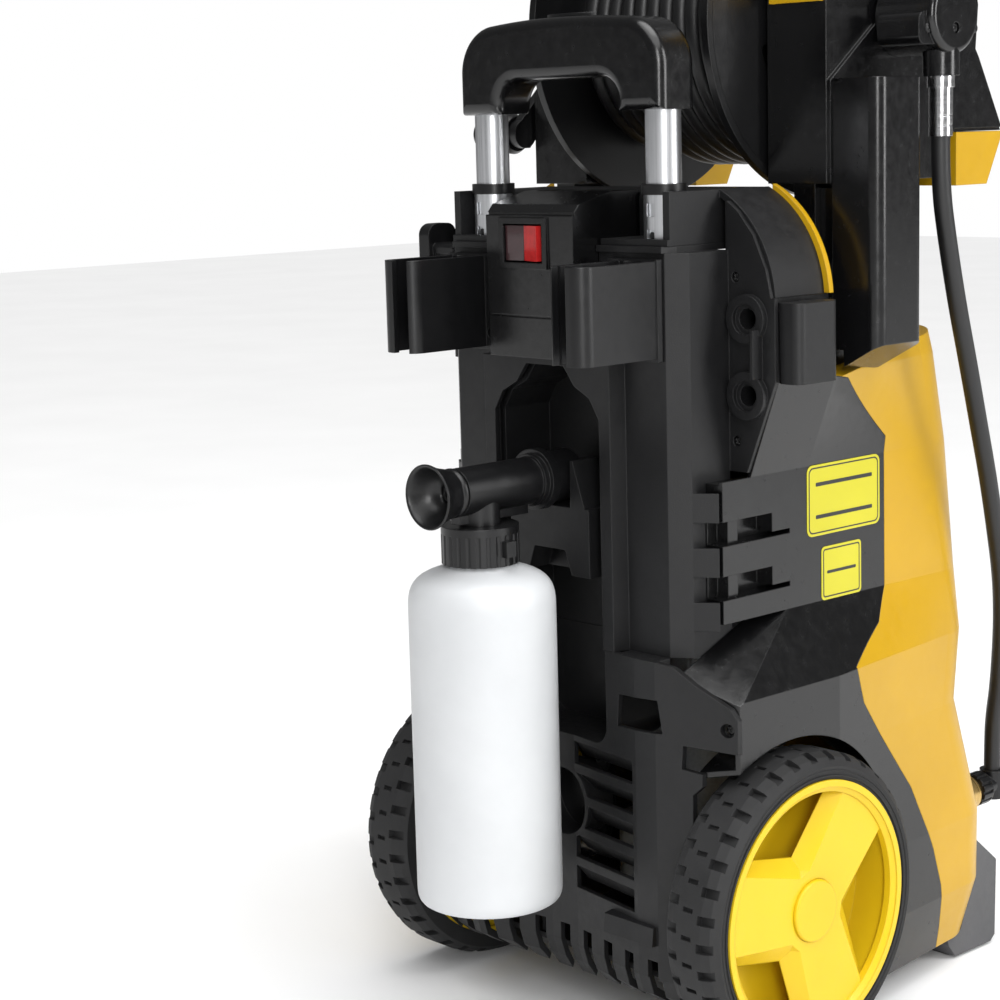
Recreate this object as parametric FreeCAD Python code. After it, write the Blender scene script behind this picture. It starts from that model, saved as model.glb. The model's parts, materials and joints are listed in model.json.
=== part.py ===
"""Upright electric pressure washer on two wheels, with hose reel, foam bottle and drawn-out handle.

Drawn in millimetres, +Z up, +Y towards the user behind the handle, with the wheel axle at y = 0.
Every shape is moved by AXLE_Y when it is written, so that the origin is on the ground at the
middle of the whole machine's box.
"""
import FreeCAD, Part
import math
import os

V = FreeCAD.Vector
os.makedirs("parts", exist_ok=True)

# ---------------------------------------------------------------- driving dimensions
WALL = 3.0                 # plastic casing thickness

FOOT_HALF = 120.0

TYRE_R = 100.0
TYRE_W = 42.0
TRACK_OUT = 164.5          # outer face of each wheel from the middle
AXLE_R = 6.0
SCREW_R = 3.1
SKIRT_HOLE_R = 4.4
RIM_R = 83.6
SPOKE_ANGLES = (-79, 41, 161)

SIDE_REACH = 176.5         # furthest point of the reel's inlet cover and of the crank knob
BOTTLE_Y = 127.8
BOTTLE_R = 46.5
OUTLET_TIP_Y = -262.0
AXLE_Y = -(BOTTLE_Y + BOTTLE_R + OUTLET_TIP_Y) / 2

COLUMN_REAR = 57.5         # rear face of the tall column
COLUMN_HALF = 94.5
COLUMN_SIDE = 106.0        # side face past the chamfered corner
COLUMN_BASE_Z = 262.0
DECK_Z = 515.5
SPINE_REAR = 69.0
SOCKET_R = 6.5             # storage sockets beside the column
WING_Y = 13.0              # rear-facing wall beside the column
SIDE_X = 120.0             # flat wall of the side covers
WING_X = 143.0
FENDER_X = 145.0
FENDER_TOP_Z = 240.0
SKIRT_REAR = 72.0
ARCH_R = 108.0

TUBE_X = 77.0
TUBE_Y = 38.0
INNER_TUBE_R = 11.0
OUTER_TUBE_R = 12.7
TUBE_TOP_Z = 550.0
OUTER_TUBE_BASE_Z = 278.0
HANDLE_TRAVEL = 220.0
TUBE_OVERLAP = 45.0         # left inside the outer tubes with the handle drawn out
LOCK_PIN_R = 2.6
LOCK_PIN_Z = 521.0
GRIP_LEG_Z = 597.0
GRIP_TOP_Z = 656.0
GRIP_HALF = 90.0

REEL_Y = -112.0
REEL_Z = 650.0
INLET_Y = REEL_Y - 9.0     # the reel's water inlet leg
REEL_R = 112.0
DRUM_R = 68.0
HOSE_R = 5.5
WINDING_HALF = 71.0
WINDING_LOW_R = DRUM_R + 0.2 + 2 * HOSE_R     # outside of the first layer of hose
WINDING_HIGH_R = WINDING_LOW_R + 10.8         # outside of the second layer, which nests a little
WINDING_STEP_X = 20.0                         # the second layer stops here
UPRIGHT_IN = 82.0
UPRIGHT_OUT = 129.0
UPRIGHT_REAR = -53.0

MOTOR = (0, -80)           # upright axis of the motor and pump
PUMP_HALF = 48.0
PISTON_R = 7.0

FOAM_Z = 368.0
GLAND_YZ = (30.0, 405.0)   # mains lead inlet in the left side of the column
BOTTLE_BASE_Z = 103.0
BOTTLE_SHOULDER_Z = 304.0

OUTLET_X, OUTLET_Z = -95.5, 107.0   # high-pressure outlet on the front
INLET_X = -40.0            # garden-hose inlet beside it, at the same height
INLET_BORE_R = 8.0

LINK_R = 6.0
# Route of the short hose from the reel's inlet down to the pump outlet.
LINK_ROUTE = [(-165, -121, 576), (-165, -121, 546), (-163.5, -131, 509), (-160, -146.5, 468),
              (-157, -163, 428), (-153, -180, 388), (-149, -197, 349), (-143, -214, 312),
              (-136, -231, 277), (-127, -246, 244), (-117, -259, 213), (-107, -270.5, 182),
              (-98, -278.5, 157), (-95.5, -281, 136), (-95.5, -281, 118)]


# ---------------------------------------------------------------- helpers
def save(node, shape):
    placed = shape.copy()
    placed.translate(V(0, AXLE_Y, 0))
    placed.exportStep("parts/" + node + ".step")


def box(x0, x1, y0, y1, z0, z1):
    return Part.makeBox(x1 - x0, y1 - y0, z1 - z0, V(x0, y0, z0))


def cylinder(radius, start, end):
    start, end = V(*start), V(*end)
    return Part.makeCylinder(radius, (end - start).Length, start, end - start)


def cone(r_start, r_end, start, end):
    start, end = V(*start), V(*end)
    return Part.makeCone(r_start, r_end, (end - start).Length, start, end - start)


def pipe(r_out, r_in, start, end):
    return cylinder(r_out, start, end).cut(cylinder(r_in, start, end))


def face_of(points):
    return Part.Face(Part.makePolygon([V(*p) for p in points] + [V(*points[0])]))


def prism_x(outline, x0, x1):
    """Outline of (y, z) points carried from x0 to x1."""
    return face_of([(x0, y, z) for y, z in outline]).extrude(V(x1 - x0, 0, 0))


def prism_y(outline, y0, y1):
    """Outline of (x, z) points carried from y0 to y1."""
    return face_of([(x, y0, z) for x, z in outline]).extrude(V(0, y1 - y0, 0))


def prism_z(outline, z0, z1):
    """Outline of (x, y) points carried from z0 to z1."""
    return face_of([(x, y, z0) for x, y in outline]).extrude(V(0, 0, z1 - z0))


def fuse(shapes):
    first, rest = shapes[0], shapes[1:]
    return first.multiFuse(rest).removeSplitter() if rest else first


def cut(shape, tools):
    return shape.cut(tools) if tools else shape


def other_side(shape):
    return shape.mirror(V(0, 0, 0), V(1, 0, 0))


def both_sides(shape):
    return Part.makeCompound([shape, other_side(shape)])


def rounded(shape, radius, pick):
    """Round the edges whose middle point pick() accepts, one group at a time if need be."""
    edges = [e for e in shape.Edges if pick(e)]
    if not edges:
        return shape
    try:
        return shape.makeFillet(radius, edges)
    except Exception:
        print("not rounded:", radius, len(edges))
        return shape


def along(edge, axis):
    """True for a straight edge that runs along the named axis."""
    if edge.Curve.TypeId != "Part::GeomLine":
        return False
    step = edge.Vertexes[-1].Point - edge.Vertexes[0].Point
    return abs(abs(getattr(step, axis)) - step.Length) < 1e-6


def middle(edge):
    box_of = edge.BoundBox
    return V((box_of.XMin + box_of.XMax) / 2, (box_of.YMin + box_of.YMax) / 2,
             (box_of.ZMin + box_of.ZMax) / 2)


def revolve(profile, base, axis, half_outline_axis):
    """Turn a closed outline of (radius, height) points about an axis through base."""
    base, axis, out = V(*base), V(*axis), V(*half_outline_axis)
    wire = Part.makePolygon([base + axis * h + out * r for r, h in profile + profile[:1]])
    return Part.Face(wire).revolve(base, axis, 360)


def rounded_box(x0, x1, y0, y1, z0, z1, radius, axis):
    shape = box(x0, x1, y0, y1, z0, z1)
    return shape.makeFillet(radius, [e for e in shape.Edges if along(e, axis)])


def chain_tube(points, radius):
    """Round tube along straight runs joined by tangent arcs, one arc at each inner point."""
    pts = [V(*p) for p in points]
    edges, radii, here = [], [], pts[0]
    for before, corner, after in zip(pts, pts[1:], pts[2:]):
        run_in, run_out = corner - before, after - corner
        turn = run_in.getAngle(run_out)
        setback = 0.45 * min(run_in.Length, run_out.Length)
        radii.append(setback / math.tan(turn / 2))
        first = corner - V(run_in).normalize() * setback
        last = corner + V(run_out).normalize() * setback
        inward = (V(run_out).normalize() - V(run_in).normalize()).normalize()
        sag = radii[-1] * (1 / math.cos(turn / 2) - 1)
        edges.append(Part.LineSegment(here, first).toShape())
        edges.append(Part.Arc(first, corner + inward * sag, last).toShape())
        here = last
    edges.append(Part.LineSegment(here, pts[-1]).toShape())
    path = Part.Wire(edges)
    ring = Part.Wire([Part.Circle(pts[0], pts[1] - pts[0], radius).toShape()])
    tube = path.makePipeShell([ring], True, False)
    print("link hose: radii", [round(r) for r in radii], "length", round(path.Length),
          "volume ratio", round(tube.Volume / (math.pi * radius ** 2 * path.Length), 4))
    return tube


# ---------------------------------------------------------------- outer body
CORNER_R = 38.0
# Height, half width beside the wheels, half width at the front corners, front face.
BODY_LEVELS = [(20, 142, 126, -226), (60, FENDER_X, 134, -234), (110, FENDER_X, 136, -232),
               (192, FENDER_X, 130, -212), (FENDER_TOP_Z, FENDER_X, 127, -222), (283, 120, 121, -223),
               (372, 120, 120, -213), (432, 143, 117, -204), (483, 141, 112, -192)]
BODY_REAR = 71.0
BODY_BREAK_Y = -45.0


def body_section(level, inset):
    """Closed plan outline at one height, drawn in by inset all round."""
    z, side, front_side, front = level
    side, front_side, front = side - inset, front_side - inset, front + inset
    r = CORNER_R - inset
    rear = BODY_REAR - inset
    k = r * (1 - math.sqrt(0.5))
    lines = [((side, rear), (side, BODY_BREAK_Y)), ((side, BODY_BREAK_Y), (front_side, front + r))]
    edges = [Part.LineSegment(V(-side, rear, z), V(side, rear, z)).toShape()]
    for (xa, ya), (xb, yb) in lines:
        edges.append(Part.LineSegment(V(xa, ya, z), V(xb, yb, z)).toShape())
    edges.append(Part.Arc(V(front_side, front + r, z), V(front_side - k, front + k, z),
                          V(front_side - r, front, z)).toShape())
    edges.append(Part.LineSegment(V(front_side - r, front, z), V(r - front_side, front, z)).toShape())
    edges.append(Part.Arc(V(r - front_side, front, z), V(k - front_side, front + k, z),
                          V(-front_side, front + r, z)).toShape())
    for (xa, ya), (xb, yb) in reversed(lines):
        edges.append(Part.LineSegment(V(-xb, yb, z), V(-xa, ya, z)).toShape())
    return Part.Wire(edges)


def body_solid(inset):
    return Part.makeLoft([body_section(level, inset) for level in BODY_LEVELS], True, True)


# Side view of the line where the black side covers meet the yellow front shell, as (y, z).
SHELL_LINE = [(-40, 500), (-40, 432), (-63, 428), (-122, 383), (-122, 283), (-106, 262), (-66, 241),
              (-74, 216), (-94, 190), (-128, 147), (-153, 98), (-164, 69), (-169, 36), (-170, 20)]


def shell_region(gap):
    """Everything ahead of the shell line, moved ahead by gap."""
    line = [(y - gap, z) for y, z in SHELL_LINE]
    return prism_x([(-300, 500)] + line + [(line[-1][0], 0), (-300, 0)], -200, 200)


def wheel_arches(radius):
    inner = TRACK_OUT - TYRE_W - 4.5
    arch = cylinder(radius, (-200, 0, TYRE_R), (-inner, 0, TYRE_R))
    return [arch, other_side(arch)]


def behind_seam(drop):
    """Space above the sloping face behind each side cover's rear seam, lowered by drop."""
    low = []
    for x, y in ((-170, -60), (-90, -60), (-90, 90), (-170, 90)):
        low.append(V(x, y, 281.6 + 0.526 * (x + SIDE_X) - 0.427 * (y + 20) - drop))
    high = [V(p.x, p.y, 500) for p in low]
    base = Part.Wire(Part.makePolygon(low + low[:1]))
    top = Part.Wire(Part.makePolygon(high + high[:1]))
    wedge = Part.makeLoft([base, top], True, True).common(box(-200, 0, -60, 100, 0, 283))
    return [wedge, other_side(wedge)]


SKIRT_CORNER_Y = 54.0
SKIRT_MID_Y = 62.0         # rear face at the middle of the skirt
SKIRT_KNEE = 12.0


def skirt_plan(gap):
    """Half plan of the skirt's rear face from the middle outwards, moved ahead by gap."""
    return [(0, SKIRT_MID_Y - gap), (SKIRT_KNEE, SKIRT_MID_Y - gap), (77, SKIRT_REAR - gap),
            (COLUMN_HALF, SKIRT_REAR - gap), (FENDER_X + 2, SKIRT_CORNER_Y - gap)]


def behind_skirt():
    """Space taken by the skirt and everything behind it."""
    plan = skirt_plan(4.2) + [(200, SKIRT_CORNER_Y - 14), (200, 200), (0, 200)]
    half = prism_z(plan, 0, 300)
    return half.fuse(other_side(half))


VENT_ROWS = [298.0, 332.0]
VENT_H = 15.0


def side_covers():
    """Right and left black covers with hip, flat wall, vents, flare and wheel arch."""
    shell = body_solid(0).cut(behind_seam(0)).cut(body_solid(WALL).cut(behind_seam(1.2 * WALL)))
    backing = both_sides(box(-SIDE_X + 1, -101, -34, 36, 284, 370))
    shell = shell.fuse(backing.Solids)
    tools = wheel_arches(ARCH_R)
    tools.append(shell_region(0))
    tools.append(box(-COLUMN_SIDE - 0.4, COLUMN_SIDE + 0.4, -60, 100, 0, 500))
    tools.append(box(-200, 200, WING_Y - WALL - 0.2, 100, 372, 500))
    tools.append(box(-200, 200, 36, 100, 283, 400))
    tools.append(behind_skirt())
    for z in VENT_ROWS:
        vent = box(-SIDE_X - 1, -SIDE_X + 13, -27, 38.5, z, z + VENT_H)
        posts = [box(-SIDE_X + 4, -SIDE_X + 13, 18, 27, z, z + VENT_H),
                 box(-SIDE_X, -SIDE_X + 13, -27.5, -10, z + 3, z + VENT_H)]
        vent = vent.cut(posts)
        tools += [vent, other_side(vent)]
    rim = cylinder(ARCH_R + WALL, (-FENDER_X, 0, TYRE_R), (-119, 0, TYRE_R))
    rim = rim.cut(cylinder(ARCH_R, (-FENDER_X, 0, TYRE_R), (-110, 0, TYRE_R)))
    top_wall = body_solid(0).common(box(-200, -COLUMN_SIDE - 1, -40, -37, 425, 483))
    rim = rim.fuse(top_wall)
    rim = rim.common(body_solid(0).cut(behind_seam(0))).cut([shell_region(0), behind_skirt()])
    shell = cut(shell, tools)
    pieces = [s for s in shell.Solids if s.Volume > 3000]
    right = [s for s in pieces if s.BoundBox.Center.x < 0]
    right = fuse(right + [s for s in rim.Solids if s.Volume > 200])
    right = right.cut(cylinder(SCREW_R, (-140, SKIRT_CORNER_Y - 6, 223.6), (-140, SKIRT_CORNER_Y, 223.6)))
    return right, other_side(right)


ROOF_REAR_Z, ROOF_FRONT_Z = 428.0, 450.0   # top edge of the front shell at y = -40 and y = -210


def front_shell():
    """Yellow front with a sloped roof, cooling slots and holes for the two water fittings."""
    shell = body_solid(0).cut(body_solid(WALL)).common(shell_region(0.4))
    above = prism_x([(-40, ROOF_REAR_Z), (-210, ROOF_FRONT_Z), (-300, ROOF_FRONT_Z + 12), (-300, 520),
                     (-30, 520), (-30, ROOF_REAR_Z)], -200, 200)
    roof = prism_x([(-40.4, ROOF_REAR_Z), (-210, ROOF_FRONT_Z), (-210, ROOF_FRONT_Z - WALL),
                    (-40.4, ROOF_REAR_Z - WALL)], -200, 200)
    roof = roof.common(body_solid(WALL - 0.5)).common(shell_region(0.4))
    shell = shell.cut([above] + wheel_arches(ARCH_R + WALL + 0.6))
    shell = max(shell.Solids, key=lambda s: s.Volume)
    intake = [box(-60, 60, -260, -150, 300 + 16 * i, 307 + 16 * i) for i in range(6)]
    outlet = cylinder(15, (OUTLET_X, -260, OUTLET_Z), (OUTLET_X, -180, OUTLET_Z))
    inlet = cylinder(15, (INLET_X, -260, OUTLET_Z), (INLET_X, -180, OUTLET_Z))
    return fuse([shell, roof]).cut(intake + [outlet, inlet])


def front_foot():
    """Angular grey foot that stands out under the front."""
    outline = [(-196, 12), (-184, 44), (-200, 82), (-228, 82), (-252, 62), (-251, 6), (-246, 2), (-204, 2)]
    inside = [(-200, 14), (-190, 44), (-203, 77), (-226, 77), (-247, 60), (-246, 9), (-206, 7)]
    foot = prism_x(outline, -FOOT_HALF, FOOT_HALF).cut(prism_x(inside, 4 - FOOT_HALF, FOOT_HALF - 4))
    return foot.cut([body_solid(-0.4)] + foot_plugs())


def base_tray():
    """Floor of the machine, which carries the axle and the pump."""
    floor = box(-117, 117, -200, 46, 44, 48)
    ribs = [box(x - 1.5, x + 1.5, -196, 44, 48, 60) for x in (-100, -40, 40, 100)]
    blocks = [box(x - 9, x + 9, -14, 14, 48, 116) for x in (-104, 104)]
    tray = fuse([floor] + ribs + blocks)
    return tray.cut([cylinder(AXLE_R + 0.02, (-200, 0, TYRE_R), (200, 0, TYRE_R))])


# ---------------------------------------------------------------- column and rear
def column_plan(inset):
    half, side, rear = COLUMN_HALF - inset, COLUMN_SIDE - inset, COLUMN_REAR - inset
    return [(-side, WING_Y), (-side, 48 - inset), (-half, rear), (half, rear), (side, 48 - inset),
            (side, WING_Y)]


RECESS_HALF = 47.5
RECESS_LOW_Z, RECESS_TOP_Z = 199.0, 440.0
# Half outline of the recess's arch: x, z, and how far each corner moves out in x and z per mm of wall.
RECESS_ARCH = [(RECESS_HALF, 408, 1.0, 0.28), (39.5, 421, 0.71, 0.76), (26, 428, 0.66, 0.78),
               (17, RECESS_TOP_Z, 0.5, 1.0)]


def recess_space(grow, y0, y1):
    """Arched recess in the spine with rounded lower corners, grown by grow."""
    half = [(RECESS_HALF + grow, RECESS_LOW_Z - grow)]
    half += [(x + out_x * grow, z + out_z * grow) for x, z, out_x, out_z in RECESS_ARCH]
    space = prism_y(half + [(-x, z) for x, z in reversed(half)], y0, y1)
    corners = [e for e in space.Edges if along(e, "y") and middle(e).z < RECESS_LOW_Z + 1]
    return space.makeFillet(13 + grow, corners)


def rear_housing():
    """Tall column with spine, chamfered edges, side tabs and the deep arched recess."""
    column = prism_z(column_plan(0), COLUMN_BASE_Z, DECK_Z - 4)
    column = column.cut(prism_z([(x, y - 1) for x, y in column_plan(WALL)], 0, DECK_Z - 8))
    spine = prism_z([(-60, COLUMN_REAR - 1), (-57, SPINE_REAR), (57, SPINE_REAR),
                     (60, COLUMN_REAR - 1)], COLUMN_BASE_Z, 444)
    spine = spine.cut(prism_z([(-57, 50), (-54, SPINE_REAR - WALL), (54, SPINE_REAR - WALL), (57, 50)],
                              0, 441))
    column = column.fuse(spine)
    flange = prism_z([(-97, -4), (-97, 49), (-94.5, 60), (94.5, 60), (97, 49), (97, -4)],
                     DECK_Z - 4, DECK_Z)
    wing = prism_y([(-COLUMN_SIDE + 2, 375), (-SIDE_X, 375), (-WING_X, 432), (-WING_X, 483),
                    (-140, 483), (-136, 500), (-126, 521), (-114, 535), (-COLUMN_SIDE, 541),
                    (-COLUMN_SIDE + 2, 541)], WING_Y - 3, WING_Y)
    sockets = []
    for z in (470, 423):
        boss = cylinder(15, (-122, WING_Y - 3, z), (-122, WING_Y + 4, z))
        sleeve = cylinder(SOCKET_R + 2.5, (-122, -20, z), (-122, WING_Y - 2, z))
        wing = wing.fuse([boss, sleeve])
        sockets += [cylinder(SOCKET_R, (-122, -17, z), (-122, WING_Y + 9, z)),
                    cylinder(9.5, (-122, WING_Y + 1, z), (-122, WING_Y + 9, z))]
    sockets += [cylinder(3.2, (-112, 0, z), (-112, 30, z)) for z in (495, 394)]
    wing = wing.cut(sockets)
    rib = box(-133, -130.5, WING_Y, WING_Y + 9, 434, 464)
    tabs = [prism_z([(-COLUMN_SIDE + 2, 45), (-COLUMN_SIDE, 48), (-119.4, 38.6), (-117, 36.5)], z, z + 18)
            for z in (279, 313, 347)]
    side = fuse([wing, rib])
    column = fuse([column, flange, side, other_side(side)] + tabs + [other_side(t) for t in tabs])
    tray = recess_space(WALL, 17, 60).cut(recess_space(0, 20, 90))
    tray = tray.cut(box(-100, 100, 0, 90, 100, COLUMN_BASE_Z))
    column = column.cut(recess_space(0, 20, 90)).fuse(tray)
    tubes = [cylinder(OUTER_TUBE_R + 0.3, (x, TUBE_Y, OUTER_TUBE_BASE_Z), (x, TUBE_Y, 560))
             for x in (-TUBE_X, TUBE_X)]
    bosses = [pipe(OUTER_TUBE_R + 3, OUTER_TUBE_R + 0.3, (x, TUBE_Y, 300), (x, TUBE_Y, DECK_Z - 6))
              for x in (-TUBE_X, TUBE_X)]
    column = column.fuse(bosses).cut(tubes)
    window = box(-39.4, 39.4, 19, 75, 444.5, 600)
    gland_y, gland_z = GLAND_YZ
    inlet = cylinder(6, (COLUMN_SIDE - 10, gland_y, gland_z), (COLUMN_SIDE + 5, gland_y, gland_z))
    return column.cut([window, inlet])


LOUVRES = [(96, 111), (117, 132), (138, 154), (160, 174), (180, 195)]
COMB_PITCH = 22.3
SKIRT_LOW_Z = 56.0
BOWL_Z, BOWL_R = 152.5, 22.5


def skirt_underside():
    """Lower edge of the skirt, which curls forward and down."""
    sections = []
    for x, y in ((0, SKIRT_MID_Y), (SKIRT_KNEE, SKIRT_MID_Y), (77, SKIRT_REAR), (118, 65)):
        profile = [(y, SKIRT_LOW_Z), (y - 4, SKIRT_LOW_Z), (y - 7, 47), (50, 37), (51.5, 33), (y - 4, 43)]
        sections.append(Part.Wire(Part.makePolygon([V(x, py, pz) for py, pz in profile + profile[:1]])))
    return Part.makeLoft(sections, True, True)


def louvre_slats():
    """Slats that slope inwards and down inside the louvre openings of the right half."""
    slats = []
    turn = -math.degrees(math.atan2(SKIRT_REAR - SKIRT_MID_Y, 77 - SKIRT_KNEE))
    for low, high in LOUVRES:
        y = SKIRT_MID_Y
        slat = prism_x([(y - 0.6, high), (y - 3, high), (y - 11, low + 4), (y - 9.4, low + 4)],
                       -76, -SKIRT_KNEE)
        slat.rotate(V(-SKIRT_KNEE, SKIRT_MID_Y, 0), V(0, 0, 1), turn)
        slats.append(slat.cut(cylinder(BOWL_R + 2, (0, 30, BOWL_Z), (0, 90, BOWL_Z))))
    return slats


def rear_grille():
    """Skirt behind the wheels with louvres, corner windows and a comb of slots at its foot."""
    corner = FENDER_X + 1.5
    outline = [(0, SKIRT_LOW_Z), (118, SKIRT_LOW_Z), (118, 180), (124, 186), (124, 194), (111, 196),
               (112, 211), (corner, 209), (corner, 230), (142, 237), (120, 249.7), (COLUMN_SIDE, 260),
               (COLUMN_HALF, COLUMN_BASE_Z), (0, COLUMN_BASE_Z)]
    band = prism_z(skirt_plan(0) + list(reversed(skirt_plan(4))), 40, 270)
    skirt = band.common(prism_y(outline, 20, 90))
    cap = prism_z([(COLUMN_HALF, COLUMN_REAR), (COLUMN_HALF, SKIRT_REAR - 4), (60.5, SKIRT_REAR - 4),
                   (60.5, COLUMN_REAR)], COLUMN_BASE_Z - 4, COLUMN_BASE_Z)
    ledge = prism_x([(66, 78), (76.5, 79), (75, 91), (66, 92)], 50, 93)
    skirt = fuse([skirt, cap, ledge, skirt_underside()])
    cuts = [recess_space(0, 20, 90)]
    around_bowl = cylinder(BOWL_R + 3, (0, 30, BOWL_Z), (0, 90, BOWL_Z))
    cuts += [box(SKIRT_KNEE, 73.5, 40, 80, low, high).cut(around_bowl) for low, high in LOUVRES]
    cuts.append(prism_y([(99, 217), (96, 238), (61, 236), (59, 215)], 50, 80))
    cuts += [box(COMB_PITCH * i - 4.5, COMB_PITCH * i + 4.5, 40, 90, 30, 68) for i in range(6)]
    cuts.append(cylinder(BOWL_R, (0, 40, BOWL_Z), (0, 90, BOWL_Z)))
    cuts.append(cylinder(SKIRT_HOLE_R, (140, 40, 223.6), (140, 90, 223.6)))
    skirt = skirt.cut(cuts)
    slats = louvre_slats()
    bowl = pipe(BOWL_R + 2.5, BOWL_R, (0, 42, BOWL_Z), (0, SKIRT_MID_Y, BOWL_Z))
    back = cylinder(BOWL_R + 2.5, (0, 40, BOWL_Z), (0, 42, BOWL_Z))
    slats += [other_side(slat) for slat in slats]
    return fuse([skirt, other_side(skirt), bowl, back, recess_floor()] + slats)


def recess_floor():
    """Lower part of the recess, below the column."""
    tray = recess_space(WALL, 17, SKIRT_REAR - 1).cut(recess_space(0, 20, 90))
    ahead = prism_z(skirt_plan(1) + [(200, 0), (0, 0)], 100, 300)
    tray = tray.common(ahead.fuse(other_side(ahead)))
    return tray.cut(box(-100, 100, 0, 90, COLUMN_BASE_Z - 0.2, 500))


def top_deck():
    """Black deck round the handle tubes, with shoulders that fall away to the sides."""
    base = box(-97, 97, -38, 22, DECK_Z, 548)
    base = rounded(base, 6, lambda e: along(e, "x") and middle(e).z > 540)
    strip = box(-97, 97, 22, 57, DECK_Z, DECK_Z + 4)
    cheeks = [box(-97, -91.6, 10, 55, DECK_Z, 548), box(91.6, 97, 10, 55, DECK_Z, 548)]
    arc = Part.Arc(V(-97, -36, 548), V(-126, -36, 524), V(-141, -36, 483)).toShape()
    back = Part.makePolygon([V(-141, -36, 483), V(-137, -36, 483)])
    inner = Part.Arc(V(-137, -36, 483), V(-122.5, -36, 521.5), V(-97, -36, 543)).toShape()
    close = Part.makePolygon([V(-97, -36, 543), V(-97, -36, 548)])
    shoulder = Part.Face(Part.Wire([arc] + back.Edges + [inner] + close.Edges)).extrude(V(0, 46, 0))
    deck = fuse([base, strip] + cheeks + [shoulder, other_side(shoulder)])
    cuts = [cylinder(OUTER_TUBE_R + 0.3, (x, TUBE_Y, 500), (x, TUBE_Y, 600)) for x in (-TUBE_X, TUBE_X)]
    cuts.append(box(-40.5, 40.5, 20, 100, 500, 600))
    cuts.append(cylinder(REEL_R + 5, (-78, REEL_Y, REEL_Z), (78, REEL_Y, REEL_Z)))
    cuts.append(box(-94, 94, -38, 19, 505, 544).cut(cylinder(REEL_R + 8, (-94, REEL_Y, REEL_Z),
                                                               (94, REEL_Y, REEL_Z))))
    return deck.cut(cuts)


def shoulder_edge():
    """Yellow edge in front of each shoulder."""
    outer = Part.Arc(V(-97, -40, 551), V(-129, -40, 526), V(-145, -40, 483.2)).toShape()
    inner = Part.Arc(V(-134, -40, 483.2), V(-118, -40, 518), V(-97, -40, 541)).toShape()
    low = Part.makePolygon([V(-145, -40, 483.2), V(-134, -40, 483.2)])
    top = Part.makePolygon([V(-97, -40, 541), V(-97, -40, 551)])
    edge = Part.Face(Part.Wire([outer] + low.Edges + [inner] + top.Edges)).extrude(V(0, 4, 0))
    return edge.cut(box(-100, 100, -60, -30, 500, 560))


def side_block():
    """Rounded black block beside each shoulder."""
    block = rounded_box(-158, -138, -30, 8, 431, 480, 6, "z")
    return both_sides(block.cut(body_solid(-0.2)))


# ---------------------------------------------------------------- hooks and switch
def lance_hook():
    """One J-shaped hook, open to the rear and the top."""
    plate = box(-93, -51, COLUMN_REAR, COLUMN_REAR + 5, 446, 508)
    plate = plate.cut(cylinder(SCREW_R, (-57, COLUMN_REAR - 5, 457), (-57, COLUMN_REAR + 9, 457)))
    outer = rounded_box(-92, -61, COLUMN_REAR - 10, 126, 448, 507, 10, "z")
    inner = rounded_box(-88, -65, COLUMN_REAR - 10, 122, 440, 515, 6.5, "z")
    mouth = box(-79, -66, 110, 140, 440, 515)
    hook = outer.cut([inner, mouth, box(-100, -50, 0, COLUMN_REAR + 4, 440, 520)])
    floor = box(-89, -64, COLUMN_REAR + 4, 66, 448, 507).cut(
        cylinder(12.5, (-76.5, 76, 440), (-76.5, 76, 520)))
    return fuse([plate, hook, floor])


HOOK_PIVOT = (38.5, 503.0)  # y and z of the cord hook's swivel


def cord_hook():
    """Swivelling hook for the mains lead: an arm with an upturned, rounded lip."""
    y, z = HOOK_PIVOT
    boss = cylinder(10, (COLUMN_SIDE + 0.3, y, z), (COLUMN_SIDE + 5, y, z))
    arm = rounded_box(COLUMN_SIDE + 3, 136, y - 9, y + 9, z - 8, z + 10, 3, "x")
    groove = box(COLUMN_SIDE + 8, 126, y + 7.5, y + 12, z + 1, z + 3)
    lip = box(129, 141, y - 12.5, y + 12.5, z - 8, z + 23)
    lip = rounded(lip, 8, lambda e: along(e, "x") and middle(e).z > z)
    lip = rounded(lip, 3, lambda e: e.Length > 3 and middle(e).x > 140.5)
    return fuse([boss, arm.cut(groove), lip])


def switch_box():
    """Box that carries the rocker switch behind the handle."""
    body = prism_x([(20, 445), (79, 445), (80, 534), (74, 541), (46, 548), (20, 548)], -39, 39)
    body = rounded(body, 3, lambda e: along(e, "z") and middle(e).y > 60)
    seam = box(-39.5, 39.5, 78.3, 90, 470.4, 471.6)
    step = box(-39.5, 39.5, 77.5, 90, 534.5, 536)
    window = box(-16, 25, 60, 90, 502, 532)
    hollow = box(-36, 36, 10, 70, 440, 538)
    bezel = box(-17, 26, 68, 81.5, 501, 533).cut(box(-13, 22, 60, 90, 505, 529))
    return fuse([body.cut([seam, step, window, hollow]), bezel])


ROCKER_PIVOT = (4.5, 72.0)  # x and y of the rocker's upright axis
ROCKER_TILT = -7.0


def rocker_switch():
    """Rocker with two halves that tips about an upright axis; its right half stands out."""
    x, y = ROCKER_PIVOT
    outline = [(x - 16, y + 2), (x - 16, y + 9.5), (x, y + 7.4), (x + 16, y + 9.5), (x + 16, y + 2),
               (x, y - 2)]
    rocker = prism_z(outline, 506, 528)
    rocker.rotate(V(x, y, 0), V(0, 0, 1), ROCKER_TILT)
    return rocker


# ---------------------------------------------------------------- handle
def outer_tubes():
    tube = pipe(OUTER_TUBE_R, INNER_TUBE_R + 0.3, (-TUBE_X, TUBE_Y, OUTER_TUBE_BASE_Z),
                (-TUBE_X, TUBE_Y, TUBE_TOP_Z))
    holes = [box(-TUBE_X - 3, -TUBE_X + 3, TUBE_Y, TUBE_Y + 20, z, z + 8) for z in (517, 533)]
    return both_sides(tube.cut(holes))


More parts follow.
